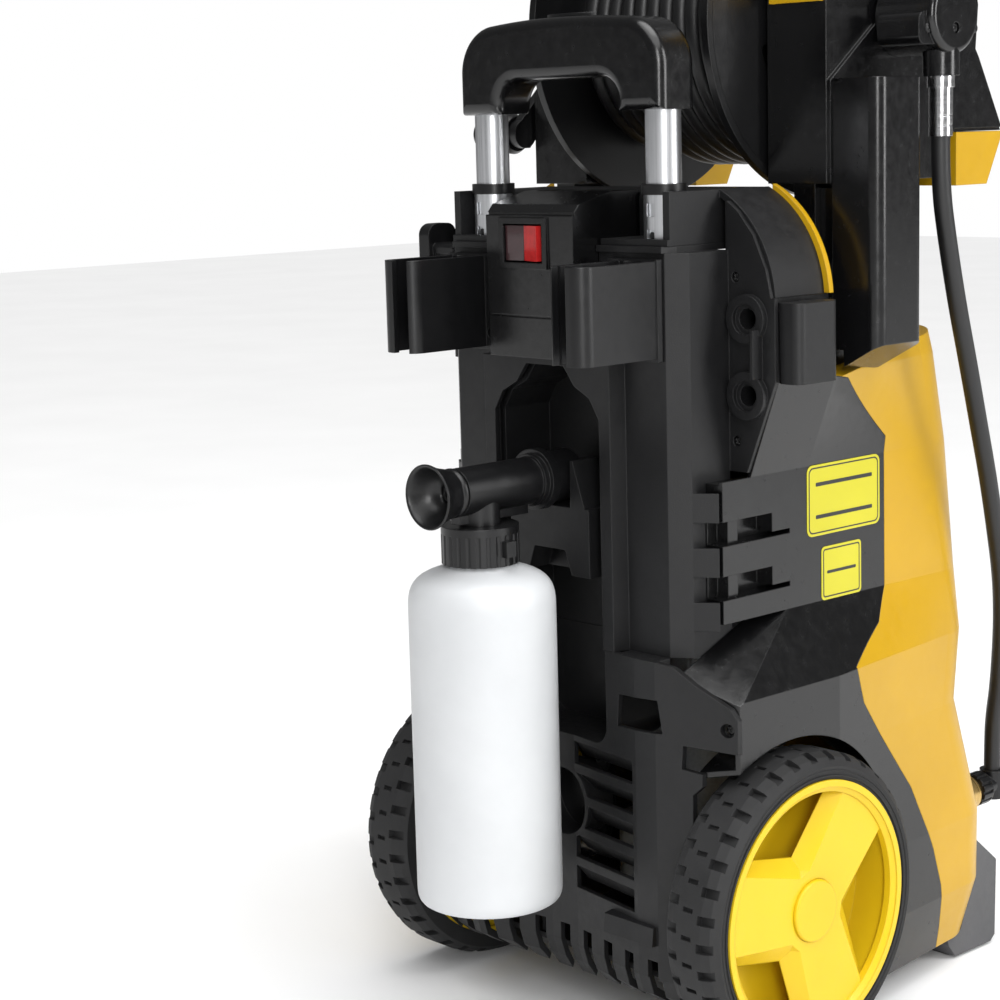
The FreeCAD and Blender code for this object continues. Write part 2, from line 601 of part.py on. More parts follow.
def tube_collars():
    ring = pipe(OUTER_TUBE_R + 1.3, INNER_TUBE_R + 0.3, (-TUBE_X, TUBE_Y, TUBE_TOP_Z),
                (-TUBE_X, TUBE_Y, TUBE_TOP_Z + 2.5))
    skirt = pipe(OUTER_TUBE_R + 1.3, OUTER_TUBE_R, (-TUBE_X, TUBE_Y, TUBE_TOP_Z - 4),
                 (-TUBE_X, TUBE_Y, TUBE_TOP_Z))
    return both_sides(fuse([ring, skirt]))


def inner_tubes():
    foot_z = TUBE_TOP_Z - TUBE_OVERLAP - HANDLE_TRAVEL
    tube = pipe(INNER_TUBE_R, INNER_TUBE_R - 1.4, (-TUBE_X, TUBE_Y, foot_z),
                (-TUBE_X, TUBE_Y, GRIP_LEG_Z + 18))
    hole = cylinder(LOCK_PIN_R + 0.05, (-TUBE_X, TUBE_Y, LOCK_PIN_Z),
                    (-TUBE_X, TUBE_Y + 20, LOCK_PIN_Z))
    return both_sides(tube.cut(hole))


def lock_pins():
    """Sprung pins in the inner tubes, seen through the windows of the outer tubes."""
    pin = cylinder(LOCK_PIN_R, (-TUBE_X, TUBE_Y - 4, LOCK_PIN_Z), (-TUBE_X, TUBE_Y + 12, LOCK_PIN_Z))
    return both_sides(pin.common(cylinder(INNER_TUBE_R, (-TUBE_X, TUBE_Y, 500), (-TUBE_X, TUBE_Y, 560))))


def handle_grip():
    """Broad arched grip that joins the two tubes."""
    y0, y1 = TUBE_Y - 17, TUBE_Y + 17
    crown = Part.Arc(V(-GRIP_HALF + 26, y0, GRIP_TOP_Z - 3), V(0, y0, GRIP_TOP_Z),
                     V(GRIP_HALF - 26, y0, GRIP_TOP_Z - 3)).toShape()
    low, high, end = GRIP_LEG_Z, GRIP_TOP_Z - 34, GRIP_HALF
    right = [Part.LineSegment(V(-end, y0, low), V(-end, y0, high)).toShape(),
             Part.Arc(V(-end, y0, high), V(8 - end, y0, high + 21.5),
                      V(26 - end, y0, GRIP_TOP_Z - 3)).toShape()]
    left = [edge.mirror(V(0, 0, 0), V(1, 0, 0)) for edge in right]
    foot = Part.LineSegment(V(-end, y0, low), V(end, y0, low)).toShape()
    block = Part.Face(Part.Wire(Part.__sortEdges__(right + [crown] + left + [foot]))).extrude(
        V(0, y1 - y0, 0))
    gap = box(-54, 54, y0 - 5, y1 + 5, GRIP_LEG_Z - 5, 618)
    gap = gap.makeFillet(17, [e for e in gap.Edges if along(e, "y") and middle(e).z > 610])
    grip = block.cut(gap)
    grip = rounded(grip, 7, lambda e: abs(middle(e).y - y0) < 1e-3 or abs(middle(e).y - y1) < 1e-3)
    sockets = [cylinder(INNER_TUBE_R + 0.02, (x, TUBE_Y, GRIP_LEG_Z - 5), (x, TUBE_Y, GRIP_LEG_Z + 18))
               for x in (-TUBE_X, TUBE_X)]
    pocket = button_plan(0.4, GRIP_TOP_Z - 21, GRIP_TOP_Z + 9)
    return grip.cut(sockets + [pocket])


def button_plan(grow, z0, z1):
    """Lens-shaped prism in the middle of the grip."""
    half, deep = 22 + grow, 9 + grow
    front = Part.Arc(V(-half, TUBE_Y, z0), V(0, TUBE_Y - deep, z0), V(half, TUBE_Y, z0)).toShape()
    back = Part.Arc(V(half, TUBE_Y, z0), V(0, TUBE_Y + deep, z0), V(-half, TUBE_Y, z0)).toShape()
    return Part.Face(Part.Wire([front, back])).extrude(V(0, 0, z1 - z0))


def release_button():
    return button_plan(0, GRIP_TOP_Z - 13, GRIP_TOP_Z + 2)


# ---------------------------------------------------------------- foam unit
def foam_bracket():
    """Saddle on the column that carries the foam lance."""
    block = box(-36, 36, 20, 68, 306, 350)
    ear = prism_y([(-33, 348), (-22, 380), (-20, 380), (-19.5, 366), (-19.5, 348)], 46, 68)
    saddle = fuse([block, ear, other_side(ear)])
    notch = prism_y([(-22, 300), (-14, 322), (14, 322), (22, 300)], 50, 80)
    rest = cylinder(17.2, (0, 40, FOAM_Z), (0, 80, FOAM_Z))
    room = cylinder(BOTTLE_R + 8, (0, BOTTLE_Y, 200), (0, BOTTLE_Y, 360))
    return saddle.cut([notch, rest, room])


def foam_head():
    """Lance body over the bottle, with its plug-in end towards the column."""
    body = cylinder(15, (0, 84, FOAM_Z), (0, 148, FOAM_Z))
    collar = cylinder(19.5, (0, 75, FOAM_Z), (0, 82, FOAM_Z))
    neck = cylinder(16.8, (0, 52, FOAM_Z), (0, 86, FOAM_Z))
    tail = cylinder(8, (0, 24, FOAM_Z), (0, 54, FOAM_Z))
    stem = cylinder(13, (0, BOTTLE_Y, 346), (0, BOTTLE_Y, FOAM_Z))
    gusset = box(-4, 4, 90, BOTTLE_Y + 20, 348, FOAM_Z)
    spigot = cylinder(4.93, (0, 147, FOAM_Z), (0, 153, FOAM_Z))
    head = fuse([body, collar, neck, tail, stem, gusset, spigot])
    return head.cut(cylinder(3, (0, 20, FOAM_Z), (0, 154, FOAM_Z)))


def foam_nozzle():
    """Trumpet-shaped nozzle that turns about the lance."""
    profile = [(5, 148.4), (15.5, 148.4), (15.5, 152), (16.5, 160), (19, 167), (20.5, 170.5),
               (18.5, 170.5), (15, 163), (11, 156), (5, 154)]
    return revolve(profile, (0, 0, FOAM_Z), (0, 1, 0), (0, 0, 1))


def foam_bottle():
    outer = [(0, BOTTLE_BASE_Z), (42, BOTTLE_BASE_Z), (BOTTLE_R, BOTTLE_BASE_Z + 5),
             (BOTTLE_R, BOTTLE_SHOULDER_Z - 3), (44.5, 309), (38, 315), (27, 319), (20.5, 320.5),
             (20.5, 341), (18.5, 341), (18.5, 319.5), (26, 317), (36.5, 313), (42.8, 307.6),
             (BOTTLE_R - 1.6, BOTTLE_SHOULDER_Z - 4), (BOTTLE_R - 1.6, BOTTLE_BASE_Z + 6),
             (41, BOTTLE_BASE_Z + 2), (0, BOTTLE_BASE_Z + 2)]
    return revolve(outer, (0, BOTTLE_Y, 0), (0, 0, 1), (0, 1, 0))


def bottle_cap():
    ring = cylinder(24.5, (0, BOTTLE_Y, 322), (0, BOTTLE_Y, 346))
    lug = box(-29, -20, BOTTLE_Y - 4, BOTTLE_Y + 4, 328, 338)
    knurls = []
    for i in range(24):
        angle = math.radians(15 * i)
        x, y = 25.6 * math.cos(angle), BOTTLE_Y + 25.6 * math.sin(angle)
        knurls.append(cylinder(1.8, (x, y, 320), (x, y, 341)))
    bores = [cylinder(20.8, (0, BOTTLE_Y, 320), (0, BOTTLE_Y, 341.5)),
             cylinder(3.5, (0, BOTTLE_Y, 340), (0, BOTTLE_Y, 347))]
    return fuse([ring.cut(knurls), lug]).cut(bores)


def suction_tube():
    return pipe(3.5, 2.2, (0, BOTTLE_Y, 118), (0, BOTTLE_Y, 346))


# ---------------------------------------------------------------- wheels
def tyre():
    """Black tyre with blocks cut round both shoulders."""
    inner, outer = TRACK_OUT - TYRE_W, TRACK_OUT
    profile = [(RIM_R, -inner - 1), (94, -inner), (97.5, -inner - 4), (TYRE_R, -inner - 10),
               (TYRE_R, -outer + 10), (97.5, -outer + 4), (92, -outer), (RIM_R, -outer + 1.5)]
    solid = revolve(profile, (0, 0, TYRE_R), (1, 0, 0), (0, 0, 1))
    cuts = []
    for i in range(36):
        side = box(-outer - 1, -outer + 13, -3, 3, 2 * TYRE_R - 4.5, 2 * TYRE_R + 4)
        far = box(-inner - 13, -inner + 1, -3, 3, 2 * TYRE_R - 4.5, 2 * TYRE_R + 4)
        middle_bar = box(-outer + 17, -inner - 17, -1.5, 1.5, 2 * TYRE_R - 2.5, 2 * TYRE_R + 4)
        for piece, phase in ((side, 0), (far, 5), (middle_bar, 2.5)):
            piece.rotate(V(0, 0, TYRE_R), V(1, 0, 0), 10 * i + phase)
            cuts.append(piece)
    return solid.cut(cuts)


def rim():
    """Yellow wheel with three flat spokes and an open dish between them."""
    outer = TRACK_OUT
    band = revolve([(RIM_R - 0.05, -outer - 0.0), (RIM_R - 0.05, -outer + 40), (RIM_R - 4, -outer + 40),
                    (RIM_R - 4.5, -outer)], (0, 0, TYRE_R), (1, 0, 0), (0, 0, 1))
    lip = revolve([(RIM_R - 8, -outer + 3), (RIM_R - 3, -outer), (RIM_R - 3, -outer + 5),
                   (RIM_R - 8, -outer + 8)], (0, 0, TYRE_R), (1, 0, 0), (0, 0, 1))
    hub = cylinder(15, (-outer + 6, 0, TYRE_R), (-outer + 40, 0, TYRE_R))
    face_x, back_x = -outer + 4, -outer + 12
    spokes = []
    for angle in SPOKE_ANGLES:
        front = [V(face_x, y, z) for y, z in ((-20, 8), (20, 8), (25, 77), (-25, 77))]
        back = [V(back_x, y, z) for y, z in ((-33, 4), (33, 4), (33, 79), (-33, 79))]
        spoke = Part.makeLoft([Part.Wire(Part.makePolygon(front + front[:1])),
                               Part.Wire(Part.makePolygon(back + back[:1]))], True, True)
        spoke.translate(V(0, 0, TYRE_R))
        spoke.rotate(V(0, 0, TYRE_R), V(1, 0, 0), angle)
        spokes.append(spoke)
    inside = cylinder(RIM_R - 1, (-outer, 0, TYRE_R), (-outer + 40, 0, TYRE_R))
    spokes = [spoke.common(inside) for spoke in spokes]
    boss = cone(27, 33, (face_x, 0, TYRE_R), (back_x, 0, TYRE_R))
    web = cylinder(RIM_R - 4, (-outer + 34, 0, TYRE_R), (-outer + 37, 0, TYRE_R))
    wheel = fuse([band, lip, hub, boss, web] + spokes)
    bore = cylinder(AXLE_R + 0.05, (-outer - 5, 0, TYRE_R), (-outer + 50, 0, TYRE_R))
    recess = cylinder(20.2, (-outer - 5, 0, TYRE_R), (face_x + 2.5, 0, TYRE_R))
    return wheel.cut([bore, recess])


def hub_cap():
    outer = TRACK_OUT
    disc = cylinder(20, (-outer + 1.5, 0, TYRE_R), (-outer + 6.5, 0, TYRE_R))
    return rounded(disc, 1.5, lambda e: abs(middle(e).x + outer - 1.5) < 1e-3)


def axle():
    return cylinder(AXLE_R, (-TRACK_OUT + 8.5, 0, TYRE_R), (TRACK_OUT - 8.5, 0, TYRE_R))


# ---------------------------------------------------------------- reel
def reel_flange():
    """Right flange: a dished disc with eight windows."""
    disc = revolve([(DRUM_R - 26, -78), (REEL_R - 3, -78), (REEL_R, -76), (REEL_R, -74),
                    (DRUM_R - 26, -74)], (0, REEL_Y, REEL_Z), (1, 0, 0), (0, 0, 1))
    windows = []
    for i in range(8):
        hole = rounded_box(-90, -60, REEL_Y - 9, REEL_Y + 9, REEL_Z + 50, REEL_Z + 62, 4, "x")
        hole.rotate(V(0, REEL_Y, REEL_Z), V(1, 0, 0), 45 * i + 22)
        windows.append(hole)
    rim_bead = revolve([(REEL_R - 5, -79.5), (REEL_R, -79.5), (REEL_R, -74), (REEL_R - 5, -74)],
                       (0, REEL_Y, REEL_Z), (1, 0, 0), (0, 0, 1))
    return fuse([disc.cut(windows), rim_bead])


def reel_drum():
    drum = pipe(DRUM_R, DRUM_R - 3, (-73.9, REEL_Y, REEL_Z), (73.9, REEL_Y, REEL_Z))
    hubs = [cylinder(DRUM_R - 26.1, (s * 60, REEL_Y, REEL_Z), (s * 79, REEL_Y, REEL_Z)) for s in (-1, 1)]
    webs = [cylinder(DRUM_R - 1, (s * 66, REEL_Y, REEL_Z), (s * 70, REEL_Y, REEL_Z)) for s in (-1, 1)]
    stub = [cylinder(13.93, (s * 78, REEL_Y, REEL_Z), (s * 127, REEL_Y, REEL_Z)) for s in (-1, 1)]
    return fuse([drum] + hubs + webs + stub)


def hose_winding():
    """Closed outer shape of the wound high-pressure hose."""
    profile = [(DRUM_R + 0.2, -WINDING_HALF), (WINDING_HIGH_R, -WINDING_HALF),
               (WINDING_HIGH_R, WINDING_STEP_X), (WINDING_LOW_R, WINDING_STEP_X),
               (WINDING_LOW_R, WINDING_HALF), (DRUM_R + 0.2, WINDING_HALF)]
    return revolve(profile, (0, REEL_Y, REEL_Z), (1, 0, 0), (0, 0, 1))


CONNECTOR_X = 32.0
CONNECTOR_R = 8.0


def hose_connector():
    """Quick connector on the wound hose's free end, laid on top of the winding and facing ahead."""
    z = REEL_Z + WINDING_LOW_R + CONNECTOR_R + 0.2
    body = cylinder(CONNECTOR_R, (CONNECTOR_X, REEL_Y - 26, z), (CONNECTOR_X, REEL_Y + 14, z))
    collar = pipe(CONNECTOR_R, 6.5, (CONNECTOR_X, REEL_Y - 12, z), (CONNECTOR_X, REEL_Y - 8, z))
    plug = cylinder(5, (CONNECTOR_X, REEL_Y - 40, z), (CONNECTOR_X, REEL_Y - 25, z))
    return fuse([body.cut(collar), plug])


def upright_side_view(inset):
    """A-shaped side panel with a nose that flares ahead, as (y, z)."""
    i = inset
    return [(UPRIGHT_REAR - i, 549 + i), (UPRIGHT_REAR - i, 716 - i), (-70 - i, 748 - i), (-97, 760 - i),
            (-127, 760 - i), (-165 + i, 745 - i), (-196 + i, 712), (-210 + i, 660), (-207 + i, 626),
            (-236 + 2 * i, 578 + i), (-181 + i, 578 + i), (-157 + i, 549 + i)]


def reel_upright():
    """Right upright: a hollow pod between the reel and the outside."""
    pod = prism_x(upright_side_view(0), -UPRIGHT_OUT, -UPRIGHT_IN)
    pod = pod.cut(prism_x(upright_side_view(WALL), -UPRIGHT_OUT + WALL, -UPRIGHT_IN - WALL))
    foot = prism_x([(-58, 430.4), (-58, 549), (-150, 549), (-150, 442.4)], -116, -99)
    foot = foot.cut(prism_x([(-61, 430), (-61, 546), (-147, 546), (-147, 441)], -113, -102))
    raised = prism_x([(-53.5, 549), (-53.5, 612), (-118, 662), (-150, 690), (-190, 650), (-207, 626),
                      (-233, 580), (-181, 580), (-157, 549)], -UPRIGHT_OUT - 3, -UPRIGHT_OUT)
    pod = fuse([pod, foot, raised])
    bearing = cylinder(14, (-UPRIGHT_OUT - 5, REEL_Y, REEL_Z), (-60, REEL_Y, REEL_Z))
    return pod.cut(bearing)


def yellow_trim():
    """Yellow bands on the uprights' rear faces, blocks under their noses, and shoulder edges."""
    band = box(-UPRIGHT_OUT + 2, -UPRIGHT_IN - 4, UPRIGHT_REAR, UPRIGHT_REAR + 3, 660, 714)
    nose = prism_x([(-182, 577.6), (-234, 577.6), (-216, 543), (-182, 543)], -132.5, -98)
    pieces = [band, nose, shoulder_edge()]
    return Part.makeCompound(pieces + [other_side(piece) for piece in pieces])


def gun_holder():
    """Open-topped holster on the outside of the right upright."""
    inside_x = -UPRIGHT_OUT - 3
    front_y, rear_y = -101, -55
    pod = rounded_box(-168, inside_x, front_y, rear_y, 425, 613, 8, "z")
    pod = pod.fuse(box(inside_x - 10, inside_x, front_y, rear_y, 425, 611))
    room = rounded_box(-165.5, inside_x - 2.5, front_y + 2.5, rear_y - 2.5, 456, 620, 6, "z")
    below = prism_y([(-172, 452), (-172, 410), (-125, 410), (-125, 427)], -120, -40)
    lug = box(inside_x, -116, front_y + 8, rear_y - 8, 500, 546)
    pod = pod.fuse(lug).cut([room, below, body_solid(-0.4).common(box(-200, 200, -200, 0, 0, 446))])
    return max(pod.Solids, key=lambda s: s.Volume)


def inlet_cover():
    """Cover over the reel's water inlet, with a leg that points down."""
    cover = cylinder(24, (-SIDE_REACH, INLET_Y, REEL_Z), (-132.4, INLET_Y, REEL_Z))
    cover = rounded(cover, 4, lambda e: abs(middle(e).x + SIDE_REACH) < 1e-3)
    leg = cylinder(11.5, (-165, INLET_Y, 613), (-165, INLET_Y, REEL_Z))
    wing = rounded_box(-172, -140, REEL_Y - 33, REEL_Y + 23, 632, 652, 6, "x")
    pocket = cylinder(3.4, (-180, INLET_Y, 642), (-174.5, INLET_Y, 642))
    return fuse([cover, leg, wing]).cut([pocket] + cover_screws())


def cover_screws():
    """Three screws in a row across the inlet cover."""
    return [cylinder(SCREW_R, (x - 1.2, INLET_Y + dy, 642), (x + 5, INLET_Y + dy, 642))
            for x, dy in ((-172, -24.5), (-174.5, 0), (-172, 22.5))]


def ferrule():
    tube = cylinder(7.5, (-165, INLET_Y, 576), (-165, INLET_Y, 613))
    bead = cylinder(8.6, (-165, INLET_Y, 606), (-165, INLET_Y, 613))
    rings = [pipe(9, 7.1, (-165, INLET_Y, z), (-165, INLET_Y, z + 1.2)) for z in (582, 588)]
    return fuse([tube, bead]).cut(rings)


def hose_nut():
    """Black swivel nut and elbow that join the short hose to the brass outlet."""
    x, z = OUTLET_X, OUTLET_Z
    _, end_y, end_z = LINK_ROUTE[-1]
    nut = pipe(12, 8.05, (x, -256, z), (x, -267, z))
    grips = []
    for i in range(12):
        angle = math.radians(30 * i)
        grip_x, grip_z = x + 12 * math.cos(angle), z + 12 * math.sin(angle)
        grips.append(cylinder(1.2, (grip_x, -255, grip_z), (grip_x, -266, grip_z)))
    elbow = cylinder(8, (x, -267, z), (x, end_y, z))
    barrel = cylinder(9, (x, end_y, z - 10), (x, end_y, end_z))
    return fuse([nut.cut(grips), elbow, barrel])


def outlet_fitting():
    """Brass high-pressure outlet through the front shell, with its pipe to the pump head."""
    x, z, pipe_z = OUTLET_X, OUTLET_Z, 95
    body = cylinder(13, (x, -250, z), (x, -206, z))
    spigot = cylinder(8, (x, OUTLET_TIP_Y, z), (x, -206, z))
    link = cylinder(8, (x, -206, pipe_z), (x, -102, pipe_z))
    riser = box(x - 8, x + 8, -206, -196, pipe_z - 8, z + 8)
    across = cylinder(7, (x, -110, pipe_z), (-PUMP_HALF, -110, pipe_z))
    bore = cylinder(3, (x, OUTLET_TIP_Y, z), (x, -210, z))
    return fuse([body, spigot, link, riser, across]).cut(bore)


def inlet_coupling():
    """Garden-hose inlet: a grooved socket on the front with a pipe to the pump head."""
    x, z = INLET_X, OUTLET_Z
    body = cylinder(13, (x, -258, z), (x, -150, z))
    tail = cylinder(8, (x, -152, z - 6), (x, MOTOR[1] - PUMP_HALF, z - 6))
    grooves = [pipe(14, 12, (x, -256 + 5 * i, z), (x, -254 + 5 * i, z)) for i in range(4)]
    return fuse([body, tail]).cut(grooves + [cylinder(INLET_BORE_R, (x, -258, z), (x, -160, z))])


def crank_arm():
    """Folding crank on the left end of the reel shaft."""
    hub = cylinder(18, (132.5, REEL_Y, REEL_Z), (142, REEL_Y, REEL_Z))
    arm = prism_x([(REEL_Y - 12, REEL_Z), (REEL_Y + 12, REEL_Z), (REEL_Y + 75, REEL_Z - 62),
                   (REEL_Y + 62, REEL_Z - 76)], 134, 141)
    end = cylinder(10, (134, REEL_Y + 66, REEL_Z - 66), (141, REEL_Y + 66, REEL_Z - 66))
    drive = cylinder(9, (127, REEL_Y, REEL_Z), (133, REEL_Y, REEL_Z))
    pin = cylinder(4, (141, REEL_Y + 66, REEL_Z - 66), (174, REEL_Y + 66, REEL_Z - 66))
    return fuse([hub, arm, end, drive, pin])


def crank_knob():
    profile = [(4.05, 142), (12, 142), (14, 146), (13, 160), (14, 172), (11, SIDE_REACH),
               (0, SIDE_REACH), (0, 174.5), (4.05, 174.5)]
    return revolve(profile, (0, REEL_Y + 66, REEL_Z - 66), (1, 0, 0), (0, 0, 1))


# ---------------------------------------------------------------- inside
def motor_housing():
    x, y = MOTOR
    can = cylinder(55, (x, y, 165), (x, y, 340)).cut(cylinder(51, (x, y, 168), (x, y, 337)))
    fins = [box(x - 1.2, x + 1.2, y + 54, y + 60, 180, 320) for i in range(12)]
    for i, fin in enumerate(fins):
        fin.rotate(V(x, y, 0), V(0, 0, 1), 30 * i)
    return fuse([can] + fins).cut(cylinder(6.05, (x, y, 150), (x, y, 360)))


def motor_rotor():
    x, y = MOTOR
    return fuse([cylinder(6, (x, y, 149.9), (x, y, 372)), cylinder(38, (x, y, 190), (x, y, 310))])


def cooling_fan():
    x, y = MOTOR
    hub = cylinder(14, (x, y, 346), (x, y, 366))
    blades = []
    for i in range(8):
        blade = box(x - 1.2, x + 1.2, y + 12, y + 48, 347, 364)
        blade.rotate(V(x, y, 0), V(0, 0, 1), 45 * i)
        blades.append(blade)
    return fuse([hub] + blades).cut(cylinder(6, (x, y, 340), (x, y, 380)))


def piston_rods(radius, z0, z1):
    """Three upright rods or bores round the pump's axis."""
    x, y = MOTOR
    rods = []
    for turn in (90, 210, 330):
        rod_x, rod_y = x + 26 * math.cos(math.radians(turn)), y + 26 * math.sin(math.radians(turn))
        rods.append(cylinder(radius, (rod_x, rod_y, z0), (rod_x, rod_y, z1)))
    return rods


def pump_body():
    x, y = MOTOR
    shell = cylinder(52, (x, y, 112), (x, y, 165)).cut(cylinder(46, (x, y, 116), (x, y, 161)))
    return shell.cut(piston_rods(PISTON_R + 0.05, 100, 130) + [cylinder(6.3, (x, y, 150), (x, y, 170))])


def pump_head():
    x, y = MOTOR
    block = rounded_box(x - PUMP_HALF, x + PUMP_HALF, y - PUMP_HALF, y + PUMP_HALF, 60, 112, 12, "z")
    return block.cut(piston_rods(PISTON_R + 0.05, 80, 115))


def swash_plate():
    x, y = MOTOR
    disc = cylinder(38, (x, y, 144), (x, y, 149.8))
    disc.rotate(V(x, y, 147), V(1, 0, 0), 5)
    return disc.cut(box(x - 60, x + 60, y - 60, y + 60, 149.9, 160))


def pistons():
    return Part.makeCompound(piston_rods(PISTON_R, 86, 138))


def cable_gland():
    y, z = GLAND_YZ
    flange = cylinder(9, (COLUMN_SIDE, y, z), (COLUMN_SIDE + 3, y, z))
    sleeve = cone(7, 5.2, (COLUMN_SIDE + 3, y, z), (COLUMN_SIDE + 12, y, z))
    inner = cylinder(5.9, (COLUMN_SIDE - 8, y, z), (COLUMN_SIDE, y, z))
    return fuse([flange, sleeve, inner]).cut(cylinder(3.6, (COLUMN_SIDE - 10, y, z),
                                                      (COLUMN_SIDE + 20, y, z)))


def foot_plugs():
    """Square plugs that hold the rubber feet in the foot's floor."""
    plug = box(-108, -92, -226, -214, 2, 7)
    return [plug, other_side(plug)]


def rubber_feet():
    plates = both_sides(rounded_box(-116, -84, -233, -207, 0, 2, 8, "z"))
    return Part.makeCompound([plate.fuse(plug) for plate, plug in zip(plates.Solids, foot_plugs())])


def screws():
    """Equal screws in the wing walls, the skirt's corners and the inlet cover."""
    found = []
    for x, y, z in ((-112, WING_Y, 495), (-112, WING_Y, 394), (-140, 54.5, 223.6),
                    (-57, COLUMN_REAR + 5, 457)):
        found.append(cylinder(SCREW_R, (x, y - 4.5, z), (x, y - 1.2, z)))
    return Part.makeCompound(found + [other_side(screw) for screw in found] + cover_screws())


RIGHT_COVER, LEFT_COVER = side_covers()
RIGHT_HOOK = lance_hook()
RIGHT_FLANGE = reel_flange()
RIGHT_UPRIGHT = reel_upright()
RIGHT_TYRE, RIGHT_RIM, RIGHT_CAP = tyre(), rim(), hub_cap()

NODES = {
    "side_cover_right": RIGHT_COVER, "side_cover_left": LEFT_COVER, "front_shell": front_shell(),
    "front_foot": front_foot(), "rubber_feet": rubber_feet(), "base_tray": base_tray(),
    "rear_housing": rear_housing(), "rear_grille": rear_grille(), "top_deck": top_deck(),
    "yellow_trim": yellow_trim(), "side_blocks": side_block(),
    "lance_hook_right": RIGHT_HOOK, "lance_hook_left": other_side(RIGHT_HOOK),
    "cord_hook": cord_hook(), "switch_box": switch_box(),
    "rocker_switch": rocker_switch(), "outer_tubes": outer_tubes(), "tube_collars": tube_collars(),
    "inner_tubes": inner_tubes(), "lock_pins": lock_pins(), "handle_grip": handle_grip(),
    "release_button": release_button(), "foam_bracket": foam_bracket(), "foam_head": foam_head(),
    "foam_nozzle": foam_nozzle(), "foam_bottle": foam_bottle(), "bottle_cap": bottle_cap(),
    "suction_tube": suction_tube(), "tyre_right": RIGHT_TYRE, "tyre_left": other_side(RIGHT_TYRE),
    "rim_right": RIGHT_RIM, "rim_left": other_side(RIGHT_RIM), "hub_cap_right": RIGHT_CAP,
    "hub_cap_left": other_side(RIGHT_CAP), "axle": axle(), "reel_drum": reel_drum(),
    "reel_flange_right": RIGHT_FLANGE, "reel_flange_left": other_side(RIGHT_FLANGE),
    "hose_winding": hose_winding(), "hose_connector": hose_connector(), "reel_upright_right": RIGHT_UPRIGHT,
    "reel_upright_left": other_side(RIGHT_UPRIGHT), "gun_holder": gun_holder(),
    "inlet_cover": inlet_cover(), "screws": screws(),
    "ferrule": ferrule(), "link_hose": chain_tube(LINK_ROUTE, LINK_R), "hose_nut": hose_nut(),
    "outlet_fitting": outlet_fitting(), "inlet_coupling": inlet_coupling(),
    "crank_arm": crank_arm(), "crank_knob": crank_knob(), "motor_housing": motor_housing(),
    "motor_rotor": motor_rotor(), "cooling_fan": cooling_fan(), "pump_body": pump_body(),
    "pump_head": pump_head(), "swash_plate": swash_plate(), "pistons": pistons(),
    "cable_gland": cable_gland(),
}

for node_name, node_shape in NODES.items():
    save(node_name, node_shape)
    if not node_shape.isValid() or node_shape.Volume < 1:
        print("CHECK", node_name, node_shape.isValid(), node_shape.Volume)
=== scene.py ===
"""Looks of an upright electric pressure washer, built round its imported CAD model. Metres, +Z up."""
import json
import math

import bmesh
import bpy
from mathutils import Matrix, Vector
from mathutils.bvhtree import BVHTree

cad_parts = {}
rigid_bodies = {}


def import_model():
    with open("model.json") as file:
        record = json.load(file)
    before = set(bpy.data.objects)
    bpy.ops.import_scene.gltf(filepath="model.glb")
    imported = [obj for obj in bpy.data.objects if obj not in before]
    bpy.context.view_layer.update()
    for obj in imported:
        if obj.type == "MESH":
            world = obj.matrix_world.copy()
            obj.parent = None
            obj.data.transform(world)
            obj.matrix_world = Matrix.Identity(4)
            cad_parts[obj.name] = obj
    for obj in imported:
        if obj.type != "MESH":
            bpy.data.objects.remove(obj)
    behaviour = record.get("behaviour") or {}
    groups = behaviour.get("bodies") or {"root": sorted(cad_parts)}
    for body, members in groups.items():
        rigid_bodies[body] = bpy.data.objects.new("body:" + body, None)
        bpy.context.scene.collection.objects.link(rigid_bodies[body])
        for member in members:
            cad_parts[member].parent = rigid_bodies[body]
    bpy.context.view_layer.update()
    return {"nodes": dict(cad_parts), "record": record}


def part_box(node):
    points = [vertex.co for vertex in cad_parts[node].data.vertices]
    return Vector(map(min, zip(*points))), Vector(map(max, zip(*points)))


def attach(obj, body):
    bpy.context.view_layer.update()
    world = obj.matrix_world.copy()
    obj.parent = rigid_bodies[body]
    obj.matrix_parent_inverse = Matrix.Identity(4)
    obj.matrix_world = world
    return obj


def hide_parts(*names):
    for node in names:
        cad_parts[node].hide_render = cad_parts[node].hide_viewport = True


for leftover in list(bpy.data.objects):
    bpy.data.objects.remove(leftover)

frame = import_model()
nodes = frame["nodes"]

axle_low, axle_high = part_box("axle")
AXLE_Y = (axle_low.y + axle_high.y) / 2


def at(x, y, z):
    """A point given in mm with y measured from the wheel axle."""
    return Vector((x / 1000, y / 1000 + AXLE_Y, z / 1000))


def link(name, data, body, mat=None):
    """Puts data in the scene as a piece that rides on body."""
    obj = bpy.data.objects.new(name, data)
    bpy.context.scene.collection.objects.link(obj)
    if mat:
        data.materials.append(mat)
    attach(obj, body)
    return obj


# ---------------------------------------------------------------- camera
CAMERA_AT = Vector((-1.023467, 1.087229, 0.589084))
YAW, PITCH, ROLL = math.radians(227.64), math.radians(9.45), math.radians(-1.59)
LENS_MM, SENSOR_MM = 80.63, 36

back = Vector((math.sin(YAW) * math.cos(PITCH), -math.cos(YAW) * math.cos(PITCH), math.sin(PITCH)))
level = (-back).cross(Vector((0, 0, 1))).normalized()
upright = level.cross(-back)
right = level * math.cos(ROLL) + upright * math.sin(ROLL)
up = upright * math.cos(ROLL) - level * math.sin(ROLL)
lens = bpy.data.cameras.new("camera")
lens.lens = LENS_MM
lens.sensor_width = SENSOR_MM
camera = bpy.data.objects.new("camera", lens)
bpy.context.scene.collection.objects.link(camera)
camera.matrix_world = Matrix(((right.x, up.x, back.x, CAMERA_AT.x), (right.y, up.y, back.y, CAMERA_AT.y),
                              (right.z, up.z, back.z, CAMERA_AT.z), (0, 0, 0, 1)))
bpy.context.scene.camera = camera


